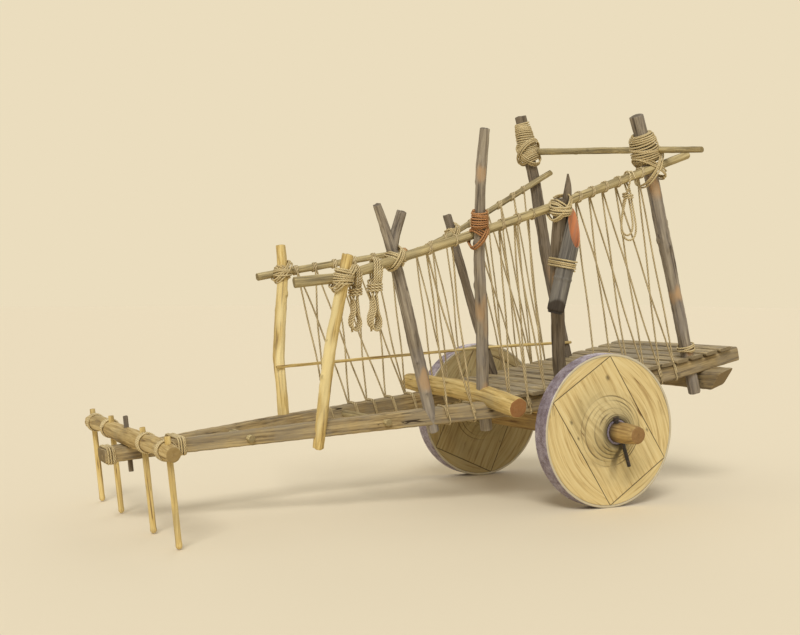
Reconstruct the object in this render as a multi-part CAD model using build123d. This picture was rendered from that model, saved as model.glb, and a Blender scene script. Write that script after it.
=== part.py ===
from build123d import *
import os
from math import asin, atan, atan2, cos, degrees, hypot, pi, radians, sin, sqrt

# Wooden farm cart with two solid plank wheels, crooked pole sides and a yoke.
# Everything is laid out as the cart stands when hitched: x forward of the axle, y to the left,
# z up, in millimetres. Heights called "rise" are measured from the axle's centre line.
# At the end the cart and its yoke are tilted about the axle until the yoke pins stand on the ground.

# Wheels
wheel_diameter = 900.0
rim_width = 112.0
tyre_thickness = 14.5
hub_swell = 68.0  # the carved boss stands this far out of the rim's face, on both sides
boss_radius = 105.0
boss_foot_radius = 228.0
boss_hollow = 2.1  # 1 is a straight cone from foot to hub, more is a hollow flare
plank_width = 470.0  # middle plank, across its two long joints
plank_tilt = {"left": 33.0, "right": -24.0}  # degrees that the middle plank leans forward
joint_gap = 0.4
bush_wall = 11.0
bush_play = 0.8

# Axle and bolster
arm_radius = 60.0
arm_tip_radius = 52.0
arm_past_pin = 168.0
axle_width = 120.0
axle_depth = 130.0
wheel_clearance = 70.0  # from a side beam's outer face to the axle's shoulder
hub_play = 8.0
linchpin_radius = 11.0
linchpin_clearance = 13.0
linchpin_below = 150.0
linchpin_above = 35.0
bolster_width = 130.0
bolster_depth = 90.0
bolster_overhang = 38.0

# Seats
seat_gap = 0.3
pole_bite = 8.0  # depth that two crossing poles are notched into each other
foot_spare = 12.0  # cut off level where a post stands on the bolster
slat_gap_at_post = 150.0  # slats whose edge is nearer than this to a post's foot are cut round it

# Side beams, from tail to nose
tail_x = -1250.0
nose_x = 2650.0
beam_sink = 19.0  # the beams are notched over the bolster by this much
beam_half_gauge = 470.0
beam_width = 104.0
beam_depth = 108.0
beam_corner = 16.0
nose_width = 76.0
nose_depth = 74.0
nose_half_gap = 0.4
tail_hole_radius = 12.0
tail_hole_inset = 62.0

# Crossbars, rungs and floor
log_ahead_of_wheel = 50.0
log_radius = 58.0
log_bite = {"left": 34.0, "right": 10.0}
crossbar_x = -1000.0
crossbar_width = 120.0
crossbar_depth = 125.0
crossbar_bite = 6.0
crossbar_reach = {"left": 700.0, "right": 620.0}
crossbar_slant = 140.0
rung_radius = 22.0
rung_overhang = 26.0
rung_places = (1150.0, 1900.0)
slat_width = 92.0
slat_thickness = 22.0
slat_pitch = 115.0
slat_overhang = 20.0
floor_rear_x = -1185.0

# Top rails, rear bar and side lath
rail_radius = 26.0
thin_rail_radius = 19.0
rear_bar_radius = 20.0
lath_radius = 9.0
lath_bite = 2.0
lap_length = 80.0
lap_bite = 4.0

# Grease tube
tube_radius = 52.0
tube_wall = 8.0
tube_length = 600.0
tube_plug_length = 60.0
tube_mouth_tilt = 34.0  # degrees that the mouth is cut obliquely
tube_joint_share = 0.32  # where the bamboo's joint swells the tube, along its length
tube_joint_half = 9.0
tube_joint_proud = 4.0
tube_tie_rise = 1000.0

# Yoke
yoke_x = 2500.0
yoke_half_length = 850.0
yoke_radius = 50.0
yoke_flat = 44.0  # from the yoke's centre to the flat under it
yoke_flat_half_length = 108.0
neck_pin_places = (-780.0, -330.0, 330.0, 780.0)
neck_pin_radius = 16.0
neck_pin_tip_radius = 18.0
neck_pin_drop = 462.0  # from the yoke's centre to the centre of the rounded tip
neck_pin_above = 85.0
yoke_peg_radius = 14.0
yoke_peg_play = 0.8
winding_thickness = 10.0
winding_length = 62.0
band_thickness = 12.0  # rope bands that hold the two noses together
band_length = 48.0
lacing_diameter = 10.0  # rope laced up and down the two sides
lacing_turn = 14.0  # length that its turn takes along a rail or beam

# Ropes that hang from the left top rail
rope_diameter = 13.0
rope_over = rope_diameter + 3  # room that a rope takes over the rail

wheel_radius = wheel_diameter / 2
wood_radius = wheel_radius - tyre_thickness - seat_gap
axle_z = wheel_radius
beam_outer = beam_half_gauge + beam_width / 2
shoulder_y = beam_outer + wheel_clearance
hub_length = rim_width + 2 * hub_swell
wheel_y = shoulder_y + hub_play + hub_length / 2
linchpin_y = wheel_y + hub_length / 2 + linchpin_clearance + linchpin_radius
arm_end_y = linchpin_y + arm_past_pin
bolster_top_rise = axle_depth / 2 + bolster_depth
log_x = wheel_radius + log_ahead_of_wheel

SIDES = {"left": 1, "right": -1}
END = 40.0  # how far a cutter runs past what it cuts


def along(rows, x):
    """All columns of a table whose first column is x, read at x by straight lines between rows."""
    for low, high in zip(rows, rows[1:]):
        if x <= high[0]:
            break
    share = (x - low[0]) / (high[0] - low[0])
    return tuple(a + (b - a) * share for a, b in zip(low, high))


# Side beam stations: x, half gauge, rise of the centre, width, depth.
beam_seat_rise = bolster_top_rise + beam_depth / 2 - beam_sink
beam_rows = (
    (tail_x, beam_half_gauge + 30, beam_seat_rise - 170, beam_width - 12, beam_depth - 16),
    (-780.0, beam_half_gauge + 20, beam_seat_rise - 115, beam_width - 4, beam_depth - 8),
    (0.0, beam_half_gauge, beam_seat_rise, beam_width, beam_depth),
    (log_x, beam_half_gauge - 78, beam_seat_rise + 102, beam_width - 4, beam_depth - 4),
    (1550.0, 222.0, beam_seat_rise + 360, nose_width + 12, nose_depth + 16),
    (nose_x - 270, nose_width / 2 + 4 + nose_half_gap, beam_seat_rise + 555, nose_width + 8, nose_depth + 6),
    (nose_x, nose_width / 2 + nose_half_gap, beam_seat_rise + 617, nose_width, nose_depth),
)


def beam_at(x):
    """Half gauge, rise of the centre, rise of the top and rise of the bottom of a side beam."""
    _, gauge, rise, _, depth = along(beam_rows, x)
    return gauge, rise, rise + depth / 2, rise - depth / 2


def hewn(rings):
    """Solid with flat hewn faces through rings of points that lie in parallel planes."""
    faces = [Face(Wire.make_polygon(rings[0])), Face(Wire.make_polygon(rings[-1]))]
    for low, high in zip(rings, rings[1:]):
        for i in range(len(low)):
            corners = (low[i - 1], low[i], high[i], high[i - 1])
            faces.append(Face(Wire.make_polygon(corners)))
    return Part() + Solid(Shell(faces))


def pole(stations, grow=0.0):
    """Crooked pole dressed to many flats: rings at (x, y, z, radius), square to its main axis."""
    run = [abs(a - b) for a, b in zip(stations[0][:3], stations[-1][:3])]
    main = run.index(max(run))
    first, second = [i for i in range(3) if i != main]
    thickest = max(row[3] for row in stations)
    flats = 8 if thickest < 8 else 12 if thickest < 25 else 16
    rings = []
    for *centre, radius in stations:
        ring = []
        for i in range(flats):
            turn = 2 * pi * (i + 0.5) / flats
            point = list(centre)
            point[first] += (radius + grow) * cos(turn)
            point[second] += (radius + grow) * sin(turn)
            ring.append(tuple(point))
        rings.append(ring)
    return hewn(rings)


def chamfered(width, depth, corner):
    """Corner points of a rectangle about the origin with its corners cut off."""
    a, b = width / 2, depth / 2
    return ((a, corner - b), (a, b - corner), (a - corner, b), (corner - a, b),
            (-a, b - corner), (-a, corner - b), (corner - a, -b), (a - corner, -b))


def longer(stations, extra):
    """The same pole run on past both ends, for use as a cutter."""
    result = list(stations)
    for end, inner in ((0, 1), (-1, -2)):
        tip = Vector(*stations[end][:3])
        push = (tip - Vector(*stations[inner][:3])).normalized() * extra
        moved = tip + push
        result[end] = (moved.X, moved.Y, moved.Z, stations[end][3])
    return result


def cutter(stations):
    """Room for a pole: its own form with the seat gap all round and past its ends."""
    return pole(longer(stations, END), seat_gap)


def at_rise(stations, rise):
    """Centre and radius of a standing pole at a height above the axle."""
    z = axle_z + rise
    for low, high in zip(stations, stations[1:]):
        if z <= high[2]:
            break
    share = (z - low[2]) / (high[2] - low[2])
    return tuple(a + (b - a) * share for a, b in zip(low, high))


def group(solids):
    """Several solids of one node, kept apart."""
    return Compound(children=[s for shape in solids for s in shape.solids()])


forked_post_x = 880.0
# Posts. For each: side, x of the foot, inset of the foot from the beam's centre line, length below
# the beam (None where it stands on the bolster), foot radius, and rows of
# (x from the foot, outward from the foot, rise, radius).
post_table = {
    "post_left_front": ("left", 1550.0, 13.0, 55.0, 31.0, (
        (-163, 165, 954, 32), (-300, 278, 1290, 32), (-380, 295, 1448, 30))),
    "post_left_forked": ("left", forked_post_x, 5.0, 36.0, 34.0, (
        (-5, 85, 880, 34), (-20, 105, 1372, 34))),
    "post_left_tall": ("left", log_x + 30, -77.0, 78.0, 35.0, (
        (-30, 25, 390, 35), (-98, 140, 844, 34), (-110, 294, 1225, 32), (-155, 350, 1453, 31),
        (-202, 390, 1650, 30), (-272, 440, 1880, 27))),
    "post_left_middle": ("left", 55.0, -7.0, None, 40.0, (
        (-50, 5, 446, 40), (-160, 95, 1025, 40), (-226, 186, 1323, 39), (-232, 192, 1352, 38))),
    "post_left_rear": ("left", -885.0, -7.0, 123.0, 38.0, (
        (-47, 15, 763, 40), (-54, 47, 1310, 42), (-35, 75, 1667, 44))),
    "post_right_front": ("right", 1560.0, 13.0, 55.0, 33.0, (
        (-140, 75, 930, 33), (-350, 140, 1380, 33), (-390, 155, 1530, 30))),
    "post_right_middle": ("right", -50.0, -10.0, None, 28.0, (
        (0, 40, 570, 28), (-40, 100, 1310, 28), (-42, 103, 1352, 27))),
    "post_right_rear": ("right", -620.0, -16.0, 48.0, 39.0, (
        (-110, 60, 830, 40), (-230, 130, 1380, 40), (-270, 150, 1820, 38))),
}
# The fork's two prongs above the last row of its trunk: x from the foot, outward, rise, radius.
fork_prongs = (
    ((-10, 122, 1480, 27), (20, 165, 1650, 20)),
    ((-62, 118, 1470, 30), (-124, 145, 1570, 28)),
)

posts = {}
for name, (side, foot_x, inset, below, foot_radius, rows) in post_table.items():
    sign = SIDES[side]
    gauge, _, _, bottom = beam_at(foot_x)
    foot_rise = bolster_top_rise - foot_spare if below is None else bottom - below
    foot_y = gauge + inset
    stations = [(foot_x, sign * foot_y, axle_z + foot_rise, foot_radius)]
    for dx, out, rise, radius in rows:
        stations.append((foot_x + dx, sign * (foot_y + out), axle_z + rise, radius))
    posts[name] = stations


def crossing(name, rise, outward, radius, bite=pole_bite):
    """Station of a rail of this radius that crosses a post, outside it (1) or inside it (-1)."""
    x, y, z, post_radius = at_rise(posts[name], rise)
    sign = 1 if y > 0 else -1
    return x, y + sign * outward * (post_radius + radius - bite), z, radius


def behind(name, rise, radius, bite=pole_bite):
    """Station of a bar of this radius that crosses a post on its rear side."""
    x, y, z, post_radius = at_rise(posts[name], rise)
    return x - post_radius - radius + bite, y, z, radius


def beyond(station, dx, dy, dz, radius):
    """A station set off from another one."""
    return station[0] + dx, station[1] + dy, station[2] + dz, radius


# Left top rail: post, rise of the crossing, side of the post.
left_rail = [crossing(name, rise, outward, rail_radius) for name, rise, outward in (
    ("post_left_front", 1340, -1),
    ("post_left_forked", 1332, 1),
    ("post_left_tall", 1330, -1),
    ("post_left_middle", 1325, -1),
    ("post_left_rear", 1342, 1),
)]
left_rail.insert(0, beyond(left_rail[0], 245, -37, 55, rail_radius + 4))
left_rail.append(beyond(left_rail[-1], -250, 12, 6, rail_radius - 2))

# Right top rails: a front one and a rear one, lapped under it and tied.
front_cross = crossing("post_right_front", 1376, 1, thin_rail_radius + 3)
right_front_rail = [
    beyond(front_cross, 150, 17, 22, thin_rail_radius + 3),
    front_cross,
    beyond(front_cross, -910, -83, -150, thin_rail_radius - 1),
]
lap_drop = 2 * thin_rail_radius - 4 - lap_bite
lap_end = right_front_rail[-1]
lap_start = along(sorted(right_front_rail), lap_end[0] + lap_length)
right_rear_rail = [
    beyond(lap_start, 0, 0, -lap_drop, thin_rail_radius - 3),
    beyond(lap_end, 0, 0, -lap_drop, thin_rail_radius - 2),
    crossing("post_right_middle", 1234, -1, thin_rail_radius - 1),
    crossing("post_right_rear", 1380, -1, thin_rail_radius + 1),
]
right_rear_rail.append(beyond(right_rear_rail[-1], -110, 0, 20, thin_rail_radius))

# Rear top bar, tied behind the two rear posts.
rear_bar = [
    behind("post_right_rear", 1566, rear_bar_radius + 2),
    behind("post_left_rear", 1443, rear_bar_radius),
]
rear_bar.insert(0, beyond(rear_bar[0], 6, -82, 9, rear_bar_radius + 2))
rear_bar.append(beyond(rear_bar[-1], -15, 418, -47, rear_bar_radius - 2))

# Thin lath along the inside of the right posts.
side_lath = [crossing(name, rise, -1, lath_radius, lath_bite) for name, rise in (
    ("post_right_front", 860),
    ("post_right_middle", 446),
    ("post_right_rear", 266),
)]
side_lath = longer(side_lath, 30)

# Front crossbar: a crooked log laid in notches on the side beams. Rows: y, rise, radius.
log_gauge, _, beam_top, _ = beam_at(log_x)
log_rise = {side: beam_top + log_radius - log_bite[side] for side in SIDES}
front_log = [(log_x, y, axle_z + rise, radius) for y, rise, radius in (
    (log_gauge + 298, log_rise["left"] - 43, log_radius),
    (log_gauge, log_rise["left"], log_radius),
    (0.0, log_rise["right"] + 2, log_radius - 2),
    (-log_gauge, log_rise["right"], log_radius - 1),
    (-log_gauge - 208, log_rise["right"] + 4, log_radius - 5),
)]

rungs = []
for rung_x in rung_places:
    gauge, rise, _, _ = beam_at(rung_x)
    reach = gauge + beam_width / 2 + rung_overhang
    rungs.append([(rung_x, -reach, axle_z + rise, rung_radius - 2),
                  (rung_x, 0.0, axle_z + rise + 4, rung_radius),
                  (rung_x, reach, axle_z + rise, rung_radius - 2)])

# A pointed stake tied behind the left middle post.
stake = [beyond(at_rise(posts["post_left_middle"], rise), dx, dy, 0, radius) for rise, dx, dy, radius in (
    (1040, -40, -8, 22), (1200, -42, -16, 26), (1340, -50, -10, 27))]
stake.append(beyond(stake[-1], -26, 14, 80, 20))
stake.append(beyond(stake[-1], -12, 8, 62, 5))

room = {name: cutter(stations) for name, stations in posts.items()}
room["rail"] = cutter(left_rail)
room["right_front_rail"] = cutter(right_front_rail)
room["right_rear_rail"] = cutter(right_rear_rail)
room["rear_bar"] = cutter(rear_bar)
room["log"] = cutter(front_log)
room["lath"] = cutter(side_lath)

# Shape that a pole is notched by, for each post.
notches = {
    "post_left_front": ("rail",),
    "post_left_forked": ("rail",),
    "post_left_tall": ("rail",),
    "post_left_middle": ("rail",),
    "post_left_rear": ("rail", "rear_bar"),
    "post_right_front": ("right_front_rail", "lath"),
    "post_right_middle": ("right_rear_rail", "lath"),
    "post_right_rear": ("right_rear_rail", "rear_bar", "lath"),
}

cart = {}
slab_depth = bolster_depth
bolster_slab = Pos(0, 0, axle_z + bolster_top_rise + seat_gap - slab_depth / 2) * Box(
    3 * bolster_width, 4 * beam_outer, slab_depth)
trunk = posts["post_left_forked"]
for name, stations in posts.items():
    shape = pole(stations)
    if name == "post_left_forked":
        foot = stations[0]
        for prong in fork_prongs:
            rows = [beyond(foot, dx, out, axle_z + rise - foot[2], radius) for dx, out, rise, radius in prong]
            start = trunk[-1]
            shape += pole([beyond(start, 0, 0, -14, start[3] - 1)] + rows)
    for cut in notches[name]:
        shape -= room[cut]
    if post_table[name][3] is None:
        shape -= bolster_slab
    cart[name] = shape

cart["stake_left"] = pole(stake) - room["post_left_middle"] - room["rail"]
cart["top_rail_left"] = pole(left_rail)
cart["top_rail_right_front"] = pole(right_front_rail) - room["right_rear_rail"]
cart["top_rail_right_rear"] = pole(right_rear_rail)
cart["rear_top_bar"] = pole(rear_bar)
cart["side_lath_right"] = pole(side_lath)
cart["front_crossbar"] = pole(front_log) - room["post_left_tall"]
cart["spreader_rungs"] = group([pole(stations) for stations in rungs])

# Axle: square in the middle, round arms through the hubs, tapered tips, holes for the linchpins.
arm_taper_y = linchpin_y + 2 * linchpin_radius
arm_outline = Polyline(
    (0, -arm_end_y), (arm_tip_radius - 8, -arm_end_y), (arm_tip_radius, -arm_end_y + 10),
    (arm_radius, -arm_taper_y), (arm_radius, arm_taper_y),
    (arm_tip_radius, arm_end_y - 10), (arm_tip_radius - 8, arm_end_y), (0, arm_end_y), close=True)
axle = Pos(0, 0, axle_z) * (revolve(make_face(arm_outline), Axis.Y)
                            + Box(axle_width, 2 * shoulder_y, axle_depth))
linchpins = []
pin_length = linchpin_below + linchpin_above + 2 * arm_radius
pin_mid_z = axle_z + (linchpin_above - linchpin_below) / 2
for sign in SIDES.values():
    place = Pos(0, sign * linchpin_y, pin_mid_z)
    head = Pos(0, 0, pin_length / 2 - 8) * Cylinder(linchpin_radius + 6, 16)
    linchpins.append(place * (Cylinder(linchpin_radius, pin_length) + head))
    axle -= place * Cylinder(linchpin_radius + seat_gap, pin_length + END)
cart["axle"] = axle
cart["linchpins"] = group(linchpins)

bolster_half = beam_outer + bolster_overhang
bolster_rise = axle_depth / 2 + bolster_depth / 2
bolster = Pos(0, 0, axle_z + bolster_rise) * Box(bolster_width, 2 * bolster_half, bolster_depth)
cart["bolster"] = chamfer(bolster.edges().filter_by(Axis.X), 12)

# Rear crossbar under the beams, its ends cut obliquely.
_, _, _, crossbar_beam_bottom = beam_at(crossbar_x)
crossbar_rise = crossbar_beam_bottom + crossbar_bite - crossbar_depth / 2
left_tip = crossbar_reach["left"]
right_tip = -crossbar_reach["right"]
crossbar_half = crossbar_depth / 2
crossbar_face = Plane.YZ * make_face(Polyline(
    (left_tip - crossbar_slant, -crossbar_half), (left_tip, crossbar_half), (right_tip, crossbar_half),
    (right_tip + crossbar_slant / 2, -crossbar_half), close=True))
crossbar = extrude(crossbar_face, crossbar_width / 2, both=True)
crossbar = Pos(crossbar_x, 0, axle_z + crossbar_rise) * fillet(crossbar.edges().filter_by(Axis.Y), 14)
cart["rear_crossbar"] = crossbar

# Yoke seat on the nose: the plane of the nose's top under the yoke.
_, _, nose_top_rise, _ = beam_at(yoke_x)
_, _, rear_top_rise, _ = beam_at(yoke_x - 60)
nose_slope = atan((nose_top_rise - rear_top_rise) / 60)
yoke_lift = yoke_flat + seat_gap
yoke_centre = Vector(yoke_x - yoke_lift * sin(nose_slope), 0, axle_z + nose_top_rise + yoke_lift * cos(nose_slope))
yoke_frame = Pos(yoke_centre.X, 0, yoke_centre.Z) * Rot(0, -degrees(nose_slope), 0)

peg_top = yoke_radius + 62
peg_bottom = -yoke_lift - nose_depth - 74
peg_length = peg_top - peg_bottom
peg_mid = Pos(0, 0, (peg_top + peg_bottom) / 2)
cart["yoke_peg"] = yoke_frame * peg_mid * Cylinder(yoke_peg_radius, peg_length)
peg_room = yoke_frame * peg_mid * Cylinder(yoke_peg_radius + seat_gap, peg_length + END)

# Side beams: rounded rectangles lofted along the table, with every mortise and notch.
bolster_room = Pos(0, 0, axle_z + bolster_rise) * Box(bolster_width + 2 * seat_gap, 4 * beam_outer, bolster_depth)
rung_rooms = [cutter(stations) for stations in rungs]


def beam_form(sign, grow=0.0):
    """One side beam before its joints are cut: a hewn bar with its corners taken off."""
    rings = []
    for x, gauge, rise, width, depth in beam_rows:
        outline = chamfered(width + 2 * grow, depth + 2 * grow, beam_corner)
        rings.append([(x, sign * gauge + across, axle_z + rise + up) for across, up in outline])
    return hewn(rings)


for side, sign in SIDES.items():
    beam = beam_form(sign) - bolster_room - room["log"] - crossbar - peg_room
    for name in posts:
        if side in name:
            beam -= room[name]
    for rung_room in rung_rooms:
        beam -= rung_room
    tail_hole_x = tail_x + tail_hole_inset
    hole_gauge, hole_rise, _, _ = beam_at(tail_hole_x)
    hole = Pos(tail_hole_x, sign * hole_gauge, axle_z + hole_rise) * Rot(90, 0, 0)
    beam -= hole * Cylinder(tail_hole_radius, 2 * beam_width)
    cart[f"side_beam_{side}"] = beam

# Floor slats across the beams, cut round the posts.
slats = []
floor_front_x = log_x - log_radius - 12
slat_count = int((floor_front_x - floor_rear_x - slat_width) / slat_pitch) + 1
for i in range(slat_count):
    rear_x = floor_rear_x + i * slat_pitch
    front_x = rear_x + slat_width
    rear_top = beam_at(rear_x)[2]
    front_top = beam_at(front_x)[2]
    reach = beam_at(rear_x)[0] + beam_width / 2 + slat_overhang
    tilt = degrees(atan((front_top - rear_top) / slat_width))
    run = hypot(slat_width, front_top - rear_top)
    board = Pos(run / 2, 0, slat_thickness / 2) * Box(run, 2 * reach, slat_thickness)
    slat = Pos(rear_x, 0, axle_z + rear_top + seat_gap) * Rot(0, -tilt, 0) * board
    for name, stations in posts.items():
        if rear_x - slat_gap_at_post < stations[0][0] < front_x + slat_gap_at_post:
            slat -= room[name]
    slats.append(slat)
cart["floor_slats"] = group(slats)

# Grease tube: a bamboo length with an oblique mouth, tied to the left middle post.
post_x, post_y, post_z, post_radius = at_rise(posts["post_left_middle"], tube_tie_rise)
upper = Vector(*at_rise(posts["post_left_middle"], tube_tie_rise + 10)[:3])
post_run = (upper - Vector(post_x, post_y, post_z)).normalized()
tube_run = Vector(-275, 85, 520).normalized()
off = tube_run.cross(post_run).normalized()
tube_tie = Vector(post_x, post_y, post_z) + off * (post_radius + tube_radius + seat_gap)
tube_plane = Plane(origin=tube_tie, x_dir=tube_run.cross(Vector(0, 1, 0)), z_dir=tube_run)
tube_foot = -0.46 * tube_length
tube_bore = tube_radius - tube_wall
joint_z = tube_foot + tube_joint_share * tube_length
tube_top = tube_foot + 1.1 * tube_length
tube_section = Polyline(
    (tube_bore, tube_foot), (tube_radius, tube_foot), (tube_radius, joint_z - tube_joint_half),
    (tube_radius + tube_joint_proud, joint_z), (tube_radius, joint_z + tube_joint_half),
    (tube_radius, tube_top), (tube_bore, tube_top), close=True)
cut_size = 8 * tube_radius
mouth_cut = Pos(0, 0, tube_foot + tube_length) * Rot(0, tube_mouth_tilt, 0) * Pos(0, 0, cut_size / 2) * Box(
    cut_size, cut_size, cut_size)
tube_blank = revolve(Plane.XZ * make_face(tube_section), Axis.Z) - mouth_cut
plug_out = 14.0  # how far the plug stands out of the tube's foot
plug = Pos(0, 0, tube_foot + tube_plug_length / 2 - plug_out) * Cylinder(tube_bore - seat_gap, tube_plug_length)
cart["grease_tube"] = tube_plane.location * tube_blank - room["post_left_middle"]
cart["grease_tube_plug"] = tube_plane.location * plug
tube_room = tube_plane.location * Pos(0, 0, tube_foot + tube_length / 2) * Cylinder(
    tube_radius + seat_gap, 1.5 * tube_length)

# Rope lashings: rounded barrels about a post, each cut round the poles that it ties.
# Post, lowest and highest rise, radius at the foot and at the top, what passes through.
foot_lashing_rise = beam_at(post_table["post_left_rear"][1])[2] + slat_thickness + 18
lashing_table = (
    ("post_left_front", 1300, 1384, 62, 62, ("rail",)),
    ("post_left_forked", 1286, 1350, 60, 60, ("rail",)),
    ("post_left_tall", 1356, 1462, 54, 50, ("rail",)),
    ("post_left_middle", 1270, 1340, 84, 84, ("rail", "stake", "tube")),
    ("post_left_rear", 1376, 1566, 98, 84, ("rail", "rear_bar")),
    ("post_left_rear", foot_lashing_rise, foot_lashing_rise + 56, 60, 58, ()),
    ("post_right_front", 1344, 1408, 62, 60, ("right_front_rail",)),
    ("post_right_middle", 1204, 1266, 52, 52, ("right_rear_rail",)),
    ("post_right_rear", 1500, 1784, 82, 56, ("rear_bar",)),
)
room["stake"] = cutter(stake)
room["tube"] = tube_room
lashings = []
for name, low, high, low_radius, high_radius, through in lashing_table:
    step = (high - low) * 0.18
    rows = ((low, low_radius - 12), (low + step, low_radius), (high - step, high_radius), (high, high_radius - 12))
    wrap = pole([at_rise(posts[name], rise)[:3] + (radius,) for rise, radius in rows]) - room[name]
    for cut in through:
        wrap -= room[cut]
    lashings.append(wrap)

# The lap of the two right rails is tied with one barrel, the grease tube with a flat ring.
lap_mid = Vector(*lap_end[:3]) + (Vector(*lap_start[:3]) - Vector(*lap_end[:3])) * 0.5 - Vector(0, 0, lap_drop / 2)
lap_run = (Vector(*lap_start[:3]) - Vector(*lap_end[:3])).normalized()
lap_ends = [lap_mid + lap_run * half for half in (-0.4 * lap_length, 0.4 * lap_length)]
lap_wrap = pole([(p.X, p.Y, p.Z, 2 * thin_rail_radius + 4) for p in lap_ends])
lashings.append(lap_wrap - room["right_front_rail"] - room["right_rear_rail"])
tie_sketch = make_hull((Circle(tube_radius + 10) + Pos(0, -tube_radius - post_radius) * Circle(post_radius + 10)).edges())
tie_plane = Plane(origin=tube_tie, x_dir=off.cross(tube_run), z_dir=tube_run)
tie = tie_plane.location * extrude(tie_sketch, 26, both=True)
tie = tie - tube_room - room["post_left_middle"]
lashings.append(tie)

# Two rope bands hold the noses of the side beams together, on each side of the yoke.
for band_x in (nose_x - 400, nose_x - 32):
    gauge, rise, top, bottom = beam_at(band_x)
    half_width = along(beam_rows, band_x)[3] / 2 + gauge + band_thickness
    half_height = (top - bottom) / 2 + band_thickness
    plane = Plane(origin=(band_x, 0, axle_z + rise), x_dir=(0, 1, 0), z_dir=(cos(nose_slope), 0, sin(nose_slope)))
    outline = Polyline(chamfered(2 * half_width, 2 * half_height, band_thickness), close=True)
    core = Rectangle(half_width, half_height)
    band = plane * extrude(make_face(outline) - core, band_length / 2, both=True)
    for sign in SIDES.values():
        band -= beam_form(sign, seat_gap)
    lashings.append(band)
cart["rope_lashings"] = group(lashings)

# Side lacing: a rope goes up and down each side, looped round the top rail and round the side beam,
# in the gaps between the slats, and ahead of them between the log, the forked post and the first
# rung. It runs on the inner side of the rail.
lacing_stops = [floor_rear_x + i * slat_pitch + (slat_width + slat_pitch) / 2 for i in range(slat_count)]
lacing_stops += [log_x + 140, forked_post_x - 90, forked_post_x + 50, rung_places[0] - 90, rung_places[0] + 80]
front_stop = slat_count
# Rail, and rows of its knots: place along the rail, and the beam stops that its two runs go down to.
lacing_table = {
    "left": (("rail", left_rail, (
        (-820, 3, 4), (-640, 3, 5), (-540, 4, 6), (-440, 5, 7), (-340, 6, 8), (0, 11), (105, 11, 12),
        (215, 12, 13), (log_x - 180, 13), (log_x + 20, front_stop), (680, front_stop, front_stop + 1))),),
    "right": (
        ("right_rear_rail", right_rear_rail, (
            (-700, 5), (-600, 5, 6), (-480, 6, 7), (-360, 6, 8), (-220, 7, 8), (0, 11), (120, 11, 12),
            (250, 12, 13))),
        ("right_front_rail", right_front_rail, (
            (440, 13, front_stop), (560, front_stop, front_stop + 1), (700, front_stop, front_stop + 2),
            (840, front_stop + 1, front_stop + 3), (980, front_stop + 2, front_stop + 4),
            (1110, front_stop + 3, front_stop + 4)))),
}
half_turn = lacing_turn / 2
lacing_off = lacing_diameter / 2 + 2 * seat_gap  # from a pole or beam to the rope's centre
for side, rails in lacing_table.items():
    sign = SIDES[side]
    pieces = []
    stops = set()
    for _, rail, knots in rails:
        rail_rows = sorted(rail)
        for rail_x, *ends in knots:
            turn = [along(rail_rows, rail_x + offset) for offset in (-half_turn, half_turn)]
            pieces.append(pole(turn, lacing_diameter))
            _, y, z, radius = along(rail_rows, rail_x)
            top = (rail_x, y - sign * (radius + lacing_off), z, lacing_diameter / 2)
            for stop in ends:
                stops.add(stop)
                _, gauge, rise, width, depth = along(beam_rows, lacing_stops[stop])
                foot = (lacing_stops[stop], sign * (gauge + width / 2 + lacing_off),
                        axle_z + rise + depth / 2 - lacing_diameter, lacing_diameter / 2)
                pieces.append(pole([foot, top]))
    for stop in sorted(stops):
        rings = []
        for offset in (-half_turn, half_turn):
            x, gauge, rise, width, depth = along(beam_rows, lacing_stops[stop] + offset)
            outline = chamfered(width + 2 * lacing_diameter, depth + 2 * lacing_diameter, beam_corner)
            rings.append([(x, sign * gauge + across, axle_z + rise + up) for across, up in outline])
        pieces.append(hewn(rings))
    lacing = Part() + pieces
    for name, _, _ in rails:
        lacing -= room[name]
    cart[f"side_lacing_{side}"] = group([lacing - beam_form(sign, seat_gap)])

# Yoke: a round bar with a flat seat, thinner between the pins of each pair, and four pins wedged
# through it.
yoke = {}
yoke_rows = ((yoke_half_length, 0, 38), (780.0, 4, 45), (555.0, 16, 42), (330.0, 4, 47), (120.0, 0, yoke_radius))
bar_rows = [(0, -y, z, radius) for y, z, radius in yoke_rows]
bar_rows += [(0, y, z, radius) for y, z, radius in reversed(yoke_rows)]
bar = pole(bar_rows)
bar -= Pos(0, 0, -yoke_flat - 50) * Box(4 * yoke_radius, 2 * yoke_flat_half_length, 100)
bar -= Cylinder(yoke_peg_radius + yoke_peg_play, 6 * yoke_radius)
pins = []
windings = []
for place in neck_pin_places:
    pin_outline = Polyline((0, neck_pin_above), (neck_pin_radius - 3, neck_pin_above),
                           (neck_pin_radius, neck_pin_above - 4), (neck_pin_radius, -neck_pin_drop),
                           (neck_pin_tip_radius, -neck_pin_drop))
    pin_tip = CenterArc((0, -neck_pin_drop), neck_pin_tip_radius, -90, 90)
    pin_axis = Line((0, -neck_pin_drop - neck_pin_tip_radius), (0, neck_pin_above))
    pin_face = Plane.XZ * make_face(pin_outline + pin_tip + pin_axis)
    pins.append(Pos(0, place, 0) * revolve(pin_face, Axis.Z))
    bar -= Pos(0, place, 0) * Cylinder(neck_pin_radius + seat_gap, 6 * yoke_radius)
    inward = -1 if abs(place) > 500 else 1
    sign = 1 if place > 0 else -1
    mid = abs(place) + inward * (neck_pin_radius + winding_length / 2 + 6)
    ends = []
    for offset in (-winding_length / 2, winding_length / 2):
        _, z, radius = along(sorted(yoke_rows), mid + offset)
        ends.append((0, sign * (mid + offset), z, radius))
    windings.append(pole(ends, winding_thickness) - pole(longer(ends, 2), seat_gap))
yoke["yoke_beam"] = yoke_frame * bar
yoke["yoke_pins"] = group([yoke_frame * pin for pin in pins])
yoke["yoke_windings"] = group([yoke_frame * winding for winding in windings])

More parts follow.
